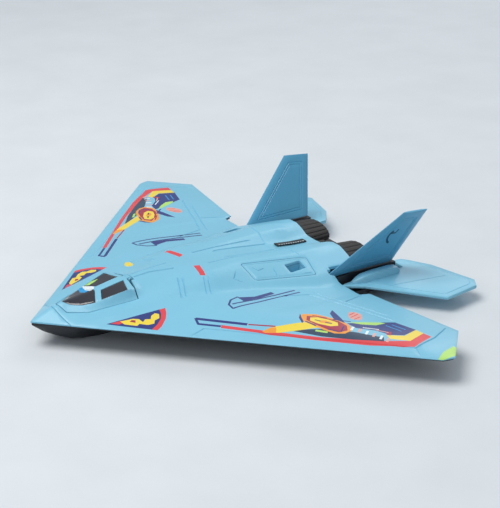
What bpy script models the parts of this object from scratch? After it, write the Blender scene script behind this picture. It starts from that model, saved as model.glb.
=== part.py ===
"""Moulded toy jet glider: a blue upper shell on a black lower shell, with fins, turning
stabilizers and a canopy that opens.

The nose points to -Y, the port wing to +X and the top to +Z. The glider stands on its flat
belly at z = 0, centred over the origin. Sizes are in millimetres in the shell's own axes: x out
from the centre line, y back from the nose tip, z up from the seam between the two shells.
"""

import math

import bmesh
import bpy
from mathutils import Matrix, Vector
from mathutils.geometry import delaunay_2d_cdt

MM = 0.001

# Wing planform
HALF_SPAN = 151.5
LEADING_SLOPE = 0.995          # y gained for each millimetre of x along the leading edge
TIP_FACET = (1.5, 6.5)         # cut tip corner: x lost, y gained
TIP_RAKE = (21.7, 20.8)        # raked tip edge: x lost, y gained
TRAILING_ROOT = (68.9, 167.1)
NOTCH_X = 66.8
NOTCH_Y = 161.8
NACELLE_EDGE_X = 38.2
NACELLE_END_Y = 180.0

# Wing thickness
LEADING_EDGE = 0.6
LEADING_RISE = 0.15
TRAILING_EDGE = 0.9
TRAILING_RISE = 0.08
WING_CROWN = ((0.0, 7.6), (48.0, 6.6), (75.0, 5.4), (105.0, 3.9), (135.0, 2.6), (151.5, 1.9))
BLEND = 1.0

# Shells
UPPER_WALL = 1.6
LOWER_WALL = 1.6
SEAM_GAP = 0.3
LOWER_INSET = 0.7
GAP = 0.3                      # between fixed neighbours
NOSE_CUT_Y = 12.6
NOSE_CUT_SLOPE = 0.17

# Upper body: station, then (half width, height) points from the centre line outwards
BODY_SECTIONS = (
    (0.0, ((0, 0.6), (0.19, 0.6), (0.39, 0.6), (0.6, 0.6), (0.8, 0.6), (1.01, 0.6))),
    (12.6, ((0, 5.8), (0.45, 5.8), (1.05, 5.7), (2.1, 5.4), (6.8, 3.2), (12.6, 0.6))),
    (18.8, ((0, 7.5), (0.6, 7.4), (1.5, 7.2), (3.6, 5.7), (6.0, 4.2), (18.8, 0.6))),
    (27.0, ((0, 8.4), (0.9, 8.4), (1.8, 8.2), (6.9, 7.0), (11.4, 3.9), (22.5, 1.8))),
    (36.3, ((0, 9.6), (1.2, 9.6), (2.1, 9.4), (10.5, 8.1), (13.5, 4.8), (23.2, 3.6))),
    (50.7, ((0, 12.0), (1.5, 12.0), (2.5, 12.0), (13.5, 11.6), (15.9, 6.3), (24.0, 5.3))),
    (53.7, ((0, 12.5), (1.5, 12.5), (2.6, 12.4), (13.2, 10.9), (16.2, 6.8), (24.0, 5.4))),
    (59.4, ((0, 12.3), (1.5, 12.2), (3.0, 12.0), (9.0, 10.2), (16.5, 7.5), (25.2, 5.5))),
    (69.0, ((0, 13.2), (1.8, 13.0), (4.5, 12.3), (12.0, 10.2), (19.5, 8.4), (27.8, 5.7))),
    (76.5, ((0, 13.0), (1.8, 13.0), (6.0, 12.2), (12.8, 10.8), (21.0, 9.2), (30.0, 5.8))),
    (87.0, ((0, 12.8), (3.0, 12.5), (7.5, 12.2), (15.0, 12.0), (22.5, 10.1), (31.5, 6.0))),
    (97.5, ((0, 12.3), (4.5, 12.3), (10.5, 12.8), (18.8, 12.9), (24.0, 11.2), (32.7, 6.2))),
    (117.0, ((0, 11.7), (4.5, 11.7), (10.5, 12.8), (17.2, 12.8), (22.5, 11.1), (33.8, 6.3))),
    (150.0, ((0, 8.4), (5.0, 8.4), (13.5, 11.8), (23.2, 12.2), (28.5, 10.2), (42.7, 5.7))),
    (163.5, ((0, 6.9), (5.0, 6.9), (13.5, 11.6), (22.8, 12.0), (28.5, 10.1), (41.2, 5.4))),
    (180.0, ((0, 6.0), (7.5, 6.3), (12.8, 9.0), (17.7, 10.6), (24.8, 10.5), (37.8, 5.4))),
)
BODY_FALL = 0.6                # slope of the body beyond its foot, under the wing

# Belly
BELLY_DEPTH = 13.2
BELLY_NOSE = ((0.0, 0.6), (1.3, 1.8), (6.3, 5.9), (12.8, 8.8), (19.2, 10.7), (25.8, 12.2))
BELLY_FULL_Y = 36.0
BELLY_RISE_Y = 148.0
BELLY_END_DEPTH = 9.0
BELLY_FLAT = 7.5
BELLY_FLAT_SPREAD = 0.4        # half width gained for each millimetre behind the nose tip
BELLY_SIDE = 17.0
BELLY_SIDE_SPREAD = 0.93
PAN_EDGE = 0.8
PAN_SLOPE = 0.06
PAN_DEPTH = 3.4
PAN_BOSS = 2.2                 # depth that the bosses reach down into the pan

# Canopy
CANOPY_FRONT_Y = 15.6
CANOPY_CHEEK = (6.0, 18.0)
CANOPY_CORNER = (12.1, 27.8)
CANOPY_REAR = (16.9, 54.0)
CANOPY_WALL = 1.2
CANOPY_GAP = 0.4
GLAZING_WALL = 0.8
GLAZING_INSET = 1.4
GLAZING_END = 2.4              # clear length left for the hinge
WINDSHIELD = ((0.0, 18.6), (1.6, 19.5), (3.4, 21.0), (5.4, 23.2), (7.5, 26.4), (9.8, 32.8),
              (1.0, 37.2), (0.0, 37.2))
SIDE_WINDOW = ((2.7, 39.8), (10.4, 36.2), (13.2, 50.2), (2.8, 53.4))

# Canopy hinge
HINGE_Y = 57.4
HINGE_DROP = 0.7               # axis below the body's centre line
PIN_RADIUS = 0.5
PIN_CLEARANCE = 0.12
KNUCKLE_RADIUS = 1.15
KNUCKLE_HALF = 2.0
KNUCKLE_WEB_HALF = 1.9
KNUCKLE_WEB_REACH = 1.5        # how far the web runs under the canopy skin
KNUCKLE_WEB_Z = (0.75, 0.2)    # web below and above the axis
EAR_WIDTH = 1.4
EAR_RADIUS = 0.95
HINGE_NOTCH_FRONT = 1.8        # canopy skin ends this far ahead of the axis
HINGE_NOTCH_REAR = 1.9         # hull opening ends this far behind the axis
BRACKET_LENGTH = 6.0
BRACKET_WALL = 1.4

# Cockpit
TUB_HALF_WIDTH = 8.6
TUB_FRONT_Y = 26.0
TUB_REAR_Y = 51.0
TUB_FLOOR_Z = -5.0
TUB_RIM_Z = 2.2
TUB_WALL = 1.0
PANEL_THICKNESS = 1.6
PANEL_HEIGHT = 5.2
PANEL_FOOT = 1.2               # the panel's extra thickness at its foot
STICK_RADIUS = 0.6
STICK_LENGTH = 5.0
STICK_Y = 33.5
SEAT_WIDTH = 8.0
SEAT_LENGTH = 7.5
SEAT_HEIGHT = 2.2
SEAT_BACK = 1.6
SEAT_BACK_HEIGHT = 8.6
SEAT_Y = 39.0
SEAT_RAKE = 1.0                # how far the seat back leans over its height
WEIGHT_LENGTH = 22.0

# Dorsal panels and their sockets
DORSAL_PANEL = ((19.0, 116.8), (32.0, 118.0), (41.6, 151.2), (27.6, 154.2))
SOCKET_X = (28.4, 34.8)
SOCKET_Y = (139.2, 149.2)
SOCKET_DEPTH = 5.6
SOCKET_WALL = 1.0

# Spine vent
VENT_HALF_WIDTH = 1.9
VENT_Y = (153.0, 173.0)
VENT_THICKNESS = 0.8

# Tail deck
DECK_HALF_WIDTH = 49.2
DECK_END_Y = 206.5
DECK_TOP_Z = -6.8
DECK_THICKNESS = 2.2
DECK_WALL = 4.0                # thickness of the walls that carry the fins
DECK_WALL_TOP_Z = 1.5
DECK_WALL_END_Y = 205.5

# Fins
FIN_ROOT_X = 40.8
FIN_ROOT_Y = (157.6, 204.5)    # leading and trailing edge at the root
FIN_HEIGHT = 38.6              # along the slanted fin
FIN_SWEEP = 40.4               # leading edge, y gained from root to tip
FIN_TIP_CHORD = 17.2
FIN_CANT = math.radians(25.3)
FIN_THICKNESS = (2.0, 1.4)     # root and tip
FIN_BEVEL = 3.0
FIN_EDGE = 0.5
FIN_TIP_DROP = 1.8             # the tip falls this much towards the rear

# Stabilizers
STAB_OUTLINE = ((45.0, 209.0), (45.0, 168.0), (46.5, 165.0), (53.4, 176.0),
                (87.2, 206.4), (84.0, 229.9), (77.5, 234.3), (50.5, 225.9),
                (40.1, 218.4), (36.2, 214.9), (35.4, 209.0))
STAB_THICKNESS = 2.4
STAB_RIB_X = (45.6, 51.0)
STAB_RIB_Y = (172.0, 203.0)
STAB_RIB_TOP_Z = 2.4
STAB_RIB_BOTTOM_Z = -4.4
STAB_ROOT = (45.0, -3.0)       # x and z of the plate's middle at its root
STAB_FALL = 0.05               # how much lower each millimetre further out
STAB_AXIS = (189.0, -2.4)      # y and z of the pivot
STAB_PIN_RADIUS = 1.0
STAB_PIN_BITE = 4.4            # how far the pin reaches into the rib

# Nozzles
NOZZLE_X = 20.4
NOZZLE_Z = 1.4
NOZZLE_RADII = (13.8, 6.5)
NOZZLE_FRONT = 0.97            # size of the end that sits inside the shell
NOZZLE_GROOVE = 0.94           # size at the groove between two petals
NOZZLE_MOUTH = 0.86            # rear size over front size
NOZZLE_LENGTH = 19.5
NOZZLE_BITE = 2.0
NOZZLE_WALL = 1.6
NOZZLE_DEPTH = 12.0
NOZZLE_PETALS = 12
BRIDGE_HALF_WIDTH = 4.0
BRIDGE_LENGTH = 9.0
BRIDGE_TOP_Z = 3.2

# Screws: x, y and whether the screw holds the tail deck
WING_SCREWS = ((44.0, 100.0), (62.0, 116.0))
TAIL_SCREW = (22.0, 170.5)
SCREW_HEAD = (2.3, 1.2)        # radius and height
SCREW_SHANK_RADIUS = 1.1
SCREW_LENGTH = 4.5
SCREW_CLEARANCE = 0.2
BOSS_RADIUS = 3.0

SHELL_PITCH = 6.5
SMALL_PITCH = 3.5
ROUND = 16                     # sides of a small round piece

MATERIALS = {
    "hull_blue": ((0.24, 0.56, 0.75, 1.0), 0.42, 0.0),
    "belly_black": ((0.02, 0.022, 0.026, 1.0), 0.5, 0.0),
    "window_smoke": ((0.02, 0.02, 0.028, 1.0), 0.12, 0.0),
    "nozzle_charcoal": ((0.045, 0.042, 0.042, 1.0), 0.7, 0.0),
    "cockpit_grey": ((0.09, 0.095, 0.1, 1.0), 0.6, 0.0),
    "steel": ((0.6, 0.6, 0.6, 1.0), 0.3, 1.0),
}


def interpolate(value, table):
    """Read a piecewise straight line, held level beyond both ends."""
    if value <= table[0][0]:
        return table[0][1]
    for (low, at_low), (high, at_high) in zip(table, table[1:]):
        if value <= high:
            return at_low + (at_high - at_low) * (value - low) / (high - low)
    return table[-1][1]


def soft_max(first, second, width):
    """Return the larger of two heights, rounded where they cross."""
    share = min(max(0.5 + 0.5 * (first - second) / width, 0.0), 1.0)
    return second + (first - second) * share + width * share * (1.0 - share)


def soft_min(first, second, width):
    """Return the smaller of two heights, rounded where they cross."""
    return -soft_max(-first, -second, width)


def body_section(y):
    """Return the upper body's (half width, height) points at a station."""
    for (front, near), (rear, far) in zip(BODY_SECTIONS, BODY_SECTIONS[1:]):
        if y <= rear:
            share = (y - front) / (rear - front)
            return [(a[0] + (b[0] - a[0]) * share, a[1] + (b[1] - a[1]) * share)
                    for a, b in zip(near, far)]
    return list(BODY_SECTIONS[-1][1])


def tip_corners():
    """Return the wing tip's front, rear and trailing corners."""
    front_x = HALF_SPAN - TIP_FACET[0]
    front = (front_x, front_x * LEADING_SLOPE)
    rear = (HALF_SPAN, front[1] + TIP_FACET[1])
    return front, rear, (rear[0] - TIP_RAKE[0], rear[1] + TIP_RAKE[1])


def trailing_y(x):
    """Return the wing's rear edge at a distance from the centre line."""
    front, rear, trailing = tip_corners()
    return interpolate(x, ((NOTCH_X, NOTCH_Y), TRAILING_ROOT, trailing, rear))


def top_height(x, y):
    """Return the height of the upper surface."""
    x = abs(x)
    section = body_section(y)
    foot_x, foot_z = section[-1]
    body = interpolate(x, section) if x < foot_x else foot_z - BODY_FALL * (x - foot_x)
    front = LEADING_EDGE + LEADING_RISE * max(y - x * LEADING_SLOPE, 0.0)
    rear = TRAILING_EDGE + TRAILING_RISE * max(trailing_y(x) - y, 0.0)
    wing = soft_min(soft_min(front, rear, BLEND), interpolate(x, WING_CROWN), BLEND)
    return soft_max(body, max(wing, LEADING_EDGE), BLEND)


def belly_depth(y):
    """Return how far the belly hangs below the seam at a station."""
    nose = BELLY_NOSE + ((BELLY_FULL_Y, BELLY_DEPTH), (BELLY_RISE_Y, BELLY_DEPTH),
                         (NOTCH_Y, BELLY_END_DEPTH))
    return interpolate(y, nose)


def belly_widths(y):
    """Return the half widths of the belly's flat and of its sides at a station."""
    return min(BELLY_FLAT, BELLY_FLAT_SPREAD * y), min(BELLY_SIDE, BELLY_SIDE_SPREAD * y)


def bottom_height(x, y):
    """Return the height of the lower surface."""
    x = abs(x)
    inland = min(y - x * LEADING_SLOPE, trailing_y(x) - y)
    pan = min(PAN_EDGE + PAN_SLOPE * max(inland, 0.0), PAN_DEPTH)
    flat, side = belly_widths(y)
    belly = interpolate(x, ((flat, belly_depth(y)), (side, PAN_EDGE)))
    return -max(pan, belly)


def inside(point, outline):
    """Tell whether a point lies inside a closed outline."""
    x, y = point
    within = False
    for (x0, y0), (x1, y1) in zip(outline, outline[1:] + outline[:1]):
        if (y0 > y) != (y1 > y) and x < x0 + (x1 - x0) * (y - y0) / (y1 - y0):
            within = not within
    return within


def shifted(outline, distance):
    """Return a closed outline moved inwards by a distance, or outwards if it is negative."""
    turn = sum(a[0] * b[1] - b[0] * a[1] for a, b in zip(outline, outline[1:] + outline[:1]))
    distance = math.copysign(distance, distance * turn)
    moved = []
    for index, point in enumerate(outline):
        here = Vector(point)
        before = (here - Vector(outline[index - 1])).normalized()
        after = (Vector(outline[(index + 1) % len(outline)]) - here).normalized()
        normals = [Vector((-before.y, before.x)), Vector((-after.y, after.x))]
        middle = (normals[0] + normals[1]).normalized()
        corner = here + middle * distance / max(middle.dot(normals[0]), 0.4)
        moved.append((corner.x, corner.y))
    return moved


def divided(outline, pitch, closed=True):
    """Return an outline with extra points, no two of them further apart than the pitch."""
    ends = outline[1:] + (outline[:1] if closed else [])
    points = []
    for start, end in zip(outline, ends):
        steps = max(1, math.ceil(math.dist(start, end) / pitch))
        points += [(start[0] + (end[0] - start[0]) * step / steps,
                    start[1] + (end[1] - start[1]) * step / steps) for step in range(steps)]
    return points if closed else points + [outline[-1]]


def rim_distance(point, outline):
    """Return a point's distance from the nearest side of a closed outline."""
    best = math.inf
    for start, end in zip(outline, outline[1:] + outline[:1]):
        a, b = Vector(start), Vector(end)
        along = min(max((point - a).dot(b - a) / (b - a).length_squared, 0.0), 1.0)
        best = min(best, (a + (b - a) * along - point).length)
    return best


def triangulate(outline, pitch, creases=(), holes=()):
    """Fill a flat outline with triangles whose edges follow the creases and the holes."""
    points, edges = [], []
    loops = [(divided(outline, pitch), True)]
    loops += [(divided(list(hole), pitch), True) for hole in holes]
    loops += [(divided(list(crease), pitch, False), False) for crease in creases]
    for loop, closed in loops:
        first = len(points)
        points += loop
        edges += [(first + i, first + i + 1) for i in range(len(loop) - 1)]
        if closed:
            edges.append((len(points) - 1, first))
    fixed = list(points)
    low_x, high_x = min(p[0] for p in outline), max(p[0] for p in outline)
    low_y, high_y = min(p[1] for p in outline), max(p[1] for p in outline)
    for row in range(1, int((high_y - low_y) / pitch) + 1):
        for column in range(int((high_x - low_x) / pitch) + 1):
            spot = (low_x + (column + 0.5) * pitch, low_y + (row - 0.5) * pitch)
            if inside(spot, outline) and all(math.dist(spot, p) > 0.55 * pitch for p in fixed):
                points.append(spot)
    flat = [Vector(p) for p in points]
    corners, _, faces, _, _, _ = delaunay_2d_cdt(flat, edges, [], 0, 1e-4)
    openings = [list(hole) for hole in holes]
    kept = []
    for face in faces:
        a, b, c = (corners[i] for i in face)
        middle = (a + b + c) / 3.0
        sliver = abs((b - a).cross(c - a)) < 2e-3
        on_rim = sliver and all(any(rim_distance(p, rim) < 1e-3 for rim in [outline] + openings)
                                for p in (a, b, c))
        open_there = any(inside(middle, hole) for hole in openings)
        if inside(middle, outline) and not open_there and not on_rim:
            kept.append(tuple(face))
    turn = sum((corners[b] - corners[a]).cross(corners[c] - corners[a]) for a, b, c in kept)
    kept = [face if turn > 0 else tuple(reversed(face)) for face in kept]
    return [(c.x, c.y) for c in corners], kept


def material(name):
    """Return the Principled material of that name."""
    found = bpy.data.materials.get(name)
    if found:
        return found
    color, roughness, metallic = MATERIALS[name]
    found = bpy.data.materials.new(name)
    found.use_nodes = True
    shader = found.node_tree.nodes["Principled BSDF"]
    shader.inputs["Base Color"].default_value = color
    shader.inputs["Roughness"].default_value = roughness
    shader.inputs["Metallic"].default_value = metallic
    found.diffuse_color = color
    return found


def datum():
    """Return the empty at the nose tip on the seam, which carries the whole glider."""
    found = bpy.data.objects.get("datum")
    if not found:
        found = bpy.data.objects.new("datum", None)
        bpy.context.collection.objects.link(found)
        length = max(y for _, y in STAB_OUTLINE)
        found.location = Vector((0.0, -length / 2.0, BELLY_DEPTH)) * MM
    return found


def add_object(name, bm, finish, origin=(0.0, 0.0, 0.0), pivot=None, smooth=30.0):
    """Turn a mesh drawn in millimetres into an object with its origin where asked.

    A pivot is an empty that stands at that origin and carries the object.
    """
    bmesh.ops.recalc_face_normals(bm, faces=bm.faces)
    bm.transform(Matrix.Scale(MM, 4) @ Matrix.Translation(-Vector(origin)))
    mesh = bpy.data.meshes.new(name)
    bm.to_mesh(mesh)
    bm.free()
    if smooth:
        mesh.shade_smooth()
        mesh.set_sharp_from_angle(angle=math.radians(smooth))
    made = bpy.data.objects.new(name, mesh)
    bpy.context.collection.objects.link(made)
    made.parent = pivot or datum()
    if not pivot:
        made.location = Vector(origin) * MM
    if finish:
        mesh.materials.append(material(finish))
    return made


def as_tool(made):
    """Mark an object as a cutter that isn't part of the glider."""
    made.hide_render = True
    made.display_type = "WIRE"
    return made


def combine(target, tool, operation):
    """Cut or join a target with a tool by a Boolean modifier."""
    modifier = target.modifiers.new(tool.name, "BOOLEAN")
    modifier.operation = operation
    modifier.solver = "EXACT"
    modifier.object = as_tool(tool)


def skin(outline, top, bottom, pitch, creases=(), holes=(), mirrored=True):
    """Build a closed sheet between two height functions over an outline, or over its mirror too."""
    corners, faces = triangulate(outline, pitch, creases, holes)
    directed = {(f[i], f[(i + 1) % 3]) for f in faces for i in range(3)}
    rim = [(a, b) for a, b in directed if (b, a) not in directed]
    used = sorted({i for face in faces for i in face})
    bm = bmesh.new()
    made = {}
    for side in (1, -1) if mirrored else (1,):
        for index in used:
            x, y = corners[index]
            if mirrored and abs(x) < 1e-3:
                x = 0.0
                if side < 0:
                    made[side, index] = made[1, index]
                    continue
            made[side, index] = (bm.verts.new((side * x, y, top(x, y))),
                                 bm.verts.new((side * x, y, bottom(x, y))))
        for face in faces:
            upper = [made[side, i][0] for i in face]
            lower = [made[side, i][1] for i in face]
            bm.faces.new(upper if side > 0 else upper[::-1])
            bm.faces.new(lower[::-1] if side > 0 else lower)
        for a, b in rim:
            if mirrored and abs(corners[a][0]) < 1e-3 and abs(corners[b][0]) < 1e-3:
                continue
            wall = [made[side, a][1], made[side, b][1], made[side, b][0], made[side, a][0]]
            bm.faces.new(wall if side > 0 else wall[::-1])
    return bm


def prism(bm, outline, low, high, axis="z"):
    """Add a straight prism to a mesh: an outline carried from low to high along an axis."""
    def place(point, level):
        if axis == "x":
            return (level, point[0], point[1])
        return (point[0], point[1], level)
    lower = [bm.verts.new(place(p, low)) for p in outline]
    upper = [bm.verts.new(place(p, high)) for p in outline]
    bm.faces.new(lower[::-1])
    bm.faces.new(upper)
    for i in range(len(outline)):
        j = (i + 1) % len(outline)
        bm.faces.new((lower[i], lower[j], upper[j], upper[i]))
    return bm


def ring(centre, radius, sides=ROUND):
    """Return a regular outline round a centre."""
    return [(centre[0] + radius * math.cos(2 * math.pi * i / sides),
             centre[1] + radius * math.sin(2 * math.pi * i / sides)) for i in range(sides)]


def rectangle(xs, ys):
    """Return the outline of a rectangle."""
    return [(xs[0], ys[0]), (xs[1], ys[0]), (xs[1], ys[1]), (xs[0], ys[1])]


def tray(xs, ys, floor_low, floor_high, wall, rim):
    """Build an open box: outer walls at xs and ys, with the rim at the height rim(x, y)."""
    bm = bmesh.new()
    outer = rectangle(xs, ys)
    inner = rectangle((xs[0] + wall, xs[1] - wall), (ys[0] + wall, ys[1] - wall))
    loops = [[bm.verts.new((x, y, floor_low)) for x, y in outer],
             [bm.verts.new((x, y, rim(x, y))) for x, y in outer],
             [bm.verts.new((x, y, rim(x, y))) for x, y in inner],
             [bm.verts.new((x, y, floor_high)) for x, y in inner]]
    for low, high in zip(loops, loops[1:]):
        for i in range(4):
            j = (i + 1) % 4
            bm.faces.new((low[i], low[j], high[j], high[i]))
    bm.faces.new(loops[0][::-1])
    bm.faces.new(loops[-1])
    return bm


def nose_cut(x):
    """Return the station where the nose cap meets the upper shell."""
    return NOSE_CUT_Y + NOSE_CUT_SLOPE * x


def leading_corner(offset):
    """Return the point on the leading edge where the nose cut, moved back by offset, meets it."""
    x = (NOSE_CUT_Y + offset) / (LEADING_SLOPE - NOSE_CUT_SLOPE)
    return (x, x * LEADING_SLOPE)


def canopy_outline(shift):
    """Return half of the canopy's outline, grown by shift, without its hinge end."""
    return [(0.0, CANOPY_FRONT_Y - shift), (CANOPY_CHEEK[0] + shift, CANOPY_CHEEK[1] - shift),
            (CANOPY_CORNER[0] + shift, CANOPY_CORNER[1]),
            (CANOPY_REAR[0] + shift, CANOPY_REAR[1] + shift)]


def hinge_half_width():
    """Return half the width of the gap that the hinge takes."""
    return KNUCKLE_HALF + GAP + EAR_WIDTH + GAP


def body_creases(front, rear):
    """Return the body's moulded edges as lines between two stations."""
    stations = [y for y, _ in BODY_SECTIONS if front < y < rear]
    stations = [front] + stations + [rear]
    return [[(body_section(y)[point][0], y) for y in stations] for point in range(2, 6)]


def panel_outline(shift):
    """Return the port dorsal panel's outline, grown by shift."""
    corners = list(DORSAL_PANEL)
    return shifted(corners, -shift) if shift else corners


def hull_outline(wing_inset=0.0):
    """Return half of the wing's planform behind the nose, from the notch to the leading edge."""
    front, rear, trailing = tip_corners()
    corners = [(NOTCH_X, NOTCH_Y), TRAILING_ROOT, trailing, rear, front]
    if not wing_inset:
        return corners
    return [(NOTCH_X, NOTCH_Y - wing_inset), (TRAILING_ROOT[0], TRAILING_ROOT[1] - wing_inset),
            (trailing[0] - wing_inset, trailing[1] - wing_inset * 1.4),
            (rear[0] - wing_inset * 1.6, rear[1]), (front[0] - wing_inset, front[1] + wing_inset)]


def upper_floor(x, y):
    """Return the inner face of the upper shell."""
    return max(top_height(x, y) - UPPER_WALL, SEAM_GAP / 2.0)


def lower_ceiling(x, y):
    """Return the inner face of the lower shell."""
    return min(bottom_height(x, y) + LOWER_WALL, -SEAM_GAP / 2.0)


def boss_set(name, low, floor_height, radius, spots):
    """Build screw bosses or their bores as one tool, both sides of the centre line."""
    bm = bmesh.new()
    for x, y in spots:
        for side in (1, -1):
            prism(bm, ring((side * x, y), radius), low, floor_height(x, y))
    return add_object(name, bm, None, smooth=None)


def build_upper_hull():
    """Build the blue upper shell, open under the canopy and the dorsal panels."""
    notch_y = HINGE_Y + HINGE_NOTCH_REAR
    half = hinge_half_width()
    opening = canopy_outline(CANOPY_GAP)
    rear = opening[-1]
    outline = [(0.0, nose_cut(0.0) + GAP)] + opening + [(half, HINGE_Y), (half, notch_y)]
    outline += [(0.0, notch_y), (0.0, NACELLE_END_Y), (NACELLE_EDGE_X, NACELLE_END_Y),
                (NACELLE_EDGE_X, NOTCH_Y)]
    outline += hull_outline() + [leading_corner(GAP)]
    creases = body_creases(notch_y + GAP, NACELLE_END_Y - GAP)
    bm = skin(outline, top_height, upper_floor, SHELL_PITCH, creases, [panel_outline(GAP)])
    hull = add_object("upper_hull", bm, "hull_blue")
    deck_low = DECK_TOP_Z + GAP
    reach = UPPER_WALL / 2.0
    combine(hull, boss_set("wing_boss_tool", SEAM_GAP, lambda x, y: top_height(x, y) - reach,
                           BOSS_RADIUS, WING_SCREWS), "UNION")
    combine(hull, boss_set("tail_boss_tool", deck_low, lambda x, y: top_height(x, y) - reach,
                           BOSS_RADIUS, [TAIL_SCREW]), "UNION")
    bore = SCREW_SHANK_RADIUS + SCREW_CLEARANCE
    depth = SCREW_LENGTH + GAP
    combine(hull, boss_set("wing_bore_tool", -1.0, lambda x, y: screw_seat(x, y) + depth,
                           bore, WING_SCREWS), "DIFFERENCE")
    combine(hull, boss_set("tail_bore_tool", deck_low - 1.0,
                           lambda x, y: screw_seat(x, y) + depth, bore, [TAIL_SCREW]),
            "DIFFERENCE")
    slot = fin_blade(GAP)
    for side, label in ((1, "left"), (-1, "right")):
        tool = place_fin(f"{label}_fin_slot_tool", slot, side, None)
        combine(hull, tool, "DIFFERENCE")
    slot.free()
    return hull


def build_nose_cap():
    """Build the nose cap that closes the upper shell's front."""
    outline = [(0.0, 0.0), leading_corner(0.0), (0.0, nose_cut(0.0))]
    bm = skin(outline, top_height, upper_floor, SMALL_PITCH)
    return add_object("nose_cap", bm, "hull_blue")


def screw_seat(x, y):
    """Return the height of the face under a screw's head."""
    if y > NOTCH_Y:
        return DECK_TOP_Z - DECK_THICKNESS + SCREW_HEAD[1] + SCREW_CLEARANCE
    return bottom_height(x, y) + SCREW_HEAD[1] + SCREW_CLEARANCE


def build_lower_hull():
    """Build the black lower shell with its deep flat belly and its screw holes."""
    outline = [(0.0, 0.6), (0.0, NOTCH_Y - LOWER_INSET)] + hull_outline(LOWER_INSET)
    bm = skin(outline, lower_ceiling, bottom_height, SHELL_PITCH, belly_creases())
    hull = add_object("lower_hull", bm, "belly_black")
    combine(hull, boss_set("pan_boss_tool", -PAN_BOSS, lambda x, y: -SEAM_GAP, BOSS_RADIUS,
                           WING_SCREWS), "UNION")
    combine(hull, boss_set("pan_head_tool", -PAN_DEPTH - 2.0, screw_seat,
                           SCREW_HEAD[0] + SCREW_CLEARANCE, WING_SCREWS), "DIFFERENCE")
    combine(hull, boss_set("pan_bore_tool", -PAN_DEPTH - 2.0, lambda x, y: 2.0,
                           SCREW_SHANK_RADIUS + SCREW_CLEARANCE, WING_SCREWS), "DIFFERENCE")
    return hull


def belly_creases():
    """Return the edges of the belly's flat and of its sides."""
    stations = [BELLY_NOSE[-2][0], BELLY_FULL_Y, BELLY_RISE_Y, NOTCH_Y - LOWER_INSET - GAP]
    return [[(belly_widths(y)[edge], y) for y in stations] for edge in (0, 1)]


def build_tail_deck():
    """Build the black deck that carries the fins, nozzles and stabilizer pins."""
    bm = bmesh.new()
    front = NOTCH_Y + GAP
    plate = rectangle((-DECK_HALF_WIDTH, DECK_HALF_WIDTH), (front, DECK_END_Y))
    prism(bm, plate, DECK_TOP_Z - DECK_THICKNESS, DECK_TOP_Z)
    deck = add_object("tail_deck", bm, "belly_black")
    wall = bmesh.new()
    middle = fin_mid_x(0.0)
    for side in (1, -1):
        xs = sorted((side * (middle - DECK_WALL / 2), side * (middle + DECK_WALL / 2)))
        prism(wall, rectangle(xs, (front, DECK_WALL_END_Y)), DECK_TOP_Z - 1.0, DECK_WALL_TOP_Z)
    combine(deck, add_object("deck_wall_tool", wall, None, smooth=None), "UNION")
    bores = bmesh.new()
    for side in (1, -1):
        start, end = sorted((side * (middle - DECK_WALL), side * (middle + DECK_WALL)))
        prism(bores, ring(STAB_AXIS, STAB_PIN_RADIUS + PIN_CLEARANCE), start, end, "x")
    combine(deck, add_object("deck_pin_tool", bores, None, smooth=None), "DIFFERENCE")
    combine(deck, boss_set("deck_head_tool", DECK_TOP_Z - DECK_THICKNESS - 1.0, screw_seat,
                           SCREW_HEAD[0] + SCREW_CLEARANCE, [TAIL_SCREW]), "DIFFERENCE")
    combine(deck, boss_set("deck_bore_tool", DECK_TOP_Z - DECK_THICKNESS - 1.0,
                           lambda x, y: DECK_TOP_Z + 1.0, SCREW_SHANK_RADIUS + SCREW_CLEARANCE,
                           [TAIL_SCREW]), "DIFFERENCE")
    return deck


def fin_mid_x(height):
    """Return the x of the fin's middle plane at a height above its root."""
    return FIN_ROOT_X + height * math.tan(FIN_CANT)


def fin_blade(grow=0.0):
    """Build a fin standing straight up from its root, as a tapered blade with bevelled edges."""
    bm = bmesh.new()
    levels = ((-grow, 0.0, FIN_ROOT_Y[1] - FIN_ROOT_Y[0], FIN_THICKNESS[0], 0.0),
              (FIN_HEIGHT + grow, FIN_SWEEP, FIN_TIP_CHORD, FIN_THICKNESS[1], FIN_TIP_DROP))
    loops = []
    for height, sweep, chord, thickness, drop in levels:
        half = thickness / 2.0 + grow
        edge = FIN_EDGE / 2.0 + grow
        stations = ((-grow, edge), (FIN_BEVEL, half), (chord - FIN_BEVEL, half),
                    (chord + grow, edge))
        side = [(FIN_ROOT_Y[0] + sweep + s, w, height - drop * s / chord) for s, w in stations]
        loops.append([bm.verts.new((w, y, z)) for y, w, z in side]
                     + [bm.verts.new((-w, y, z)) for y, w, z in reversed(side)])
    low, high = loops
    bm.faces.new(low[::-1])
    bm.faces.new(high)
    for i in range(len(low)):
        j = (i + 1) % len(low)
        bm.faces.new((low[i], low[j], high[j], high[i]))
    return bm


def place_fin(name, blade, side, finish):
    """Lean a copy of the blade outwards on one side of the tail."""
    bm = blade.copy()
    root_y = FIN_ROOT_Y[0]
    root_z = DECK_WALL_TOP_Z + GAP + FIN_THICKNESS[0] / 2.0 * math.sin(FIN_CANT)
    bmesh.ops.translate(bm, verts=bm.verts, vec=(side * FIN_ROOT_X, 0.0, root_z))
    made = add_object(name, bm, finish, (side * FIN_ROOT_X, root_y, root_z), smooth=None)
    made.rotation_euler = (0.0, side * FIN_CANT, 0.0)
    return made


def build_fins():
    """Build both fins."""
    blade = fin_blade()
    for side, label in ((1, "left"), (-1, "right")):
        place_fin(f"{label}_fin", blade, side, "hull_blue")
    blade.free()


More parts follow.
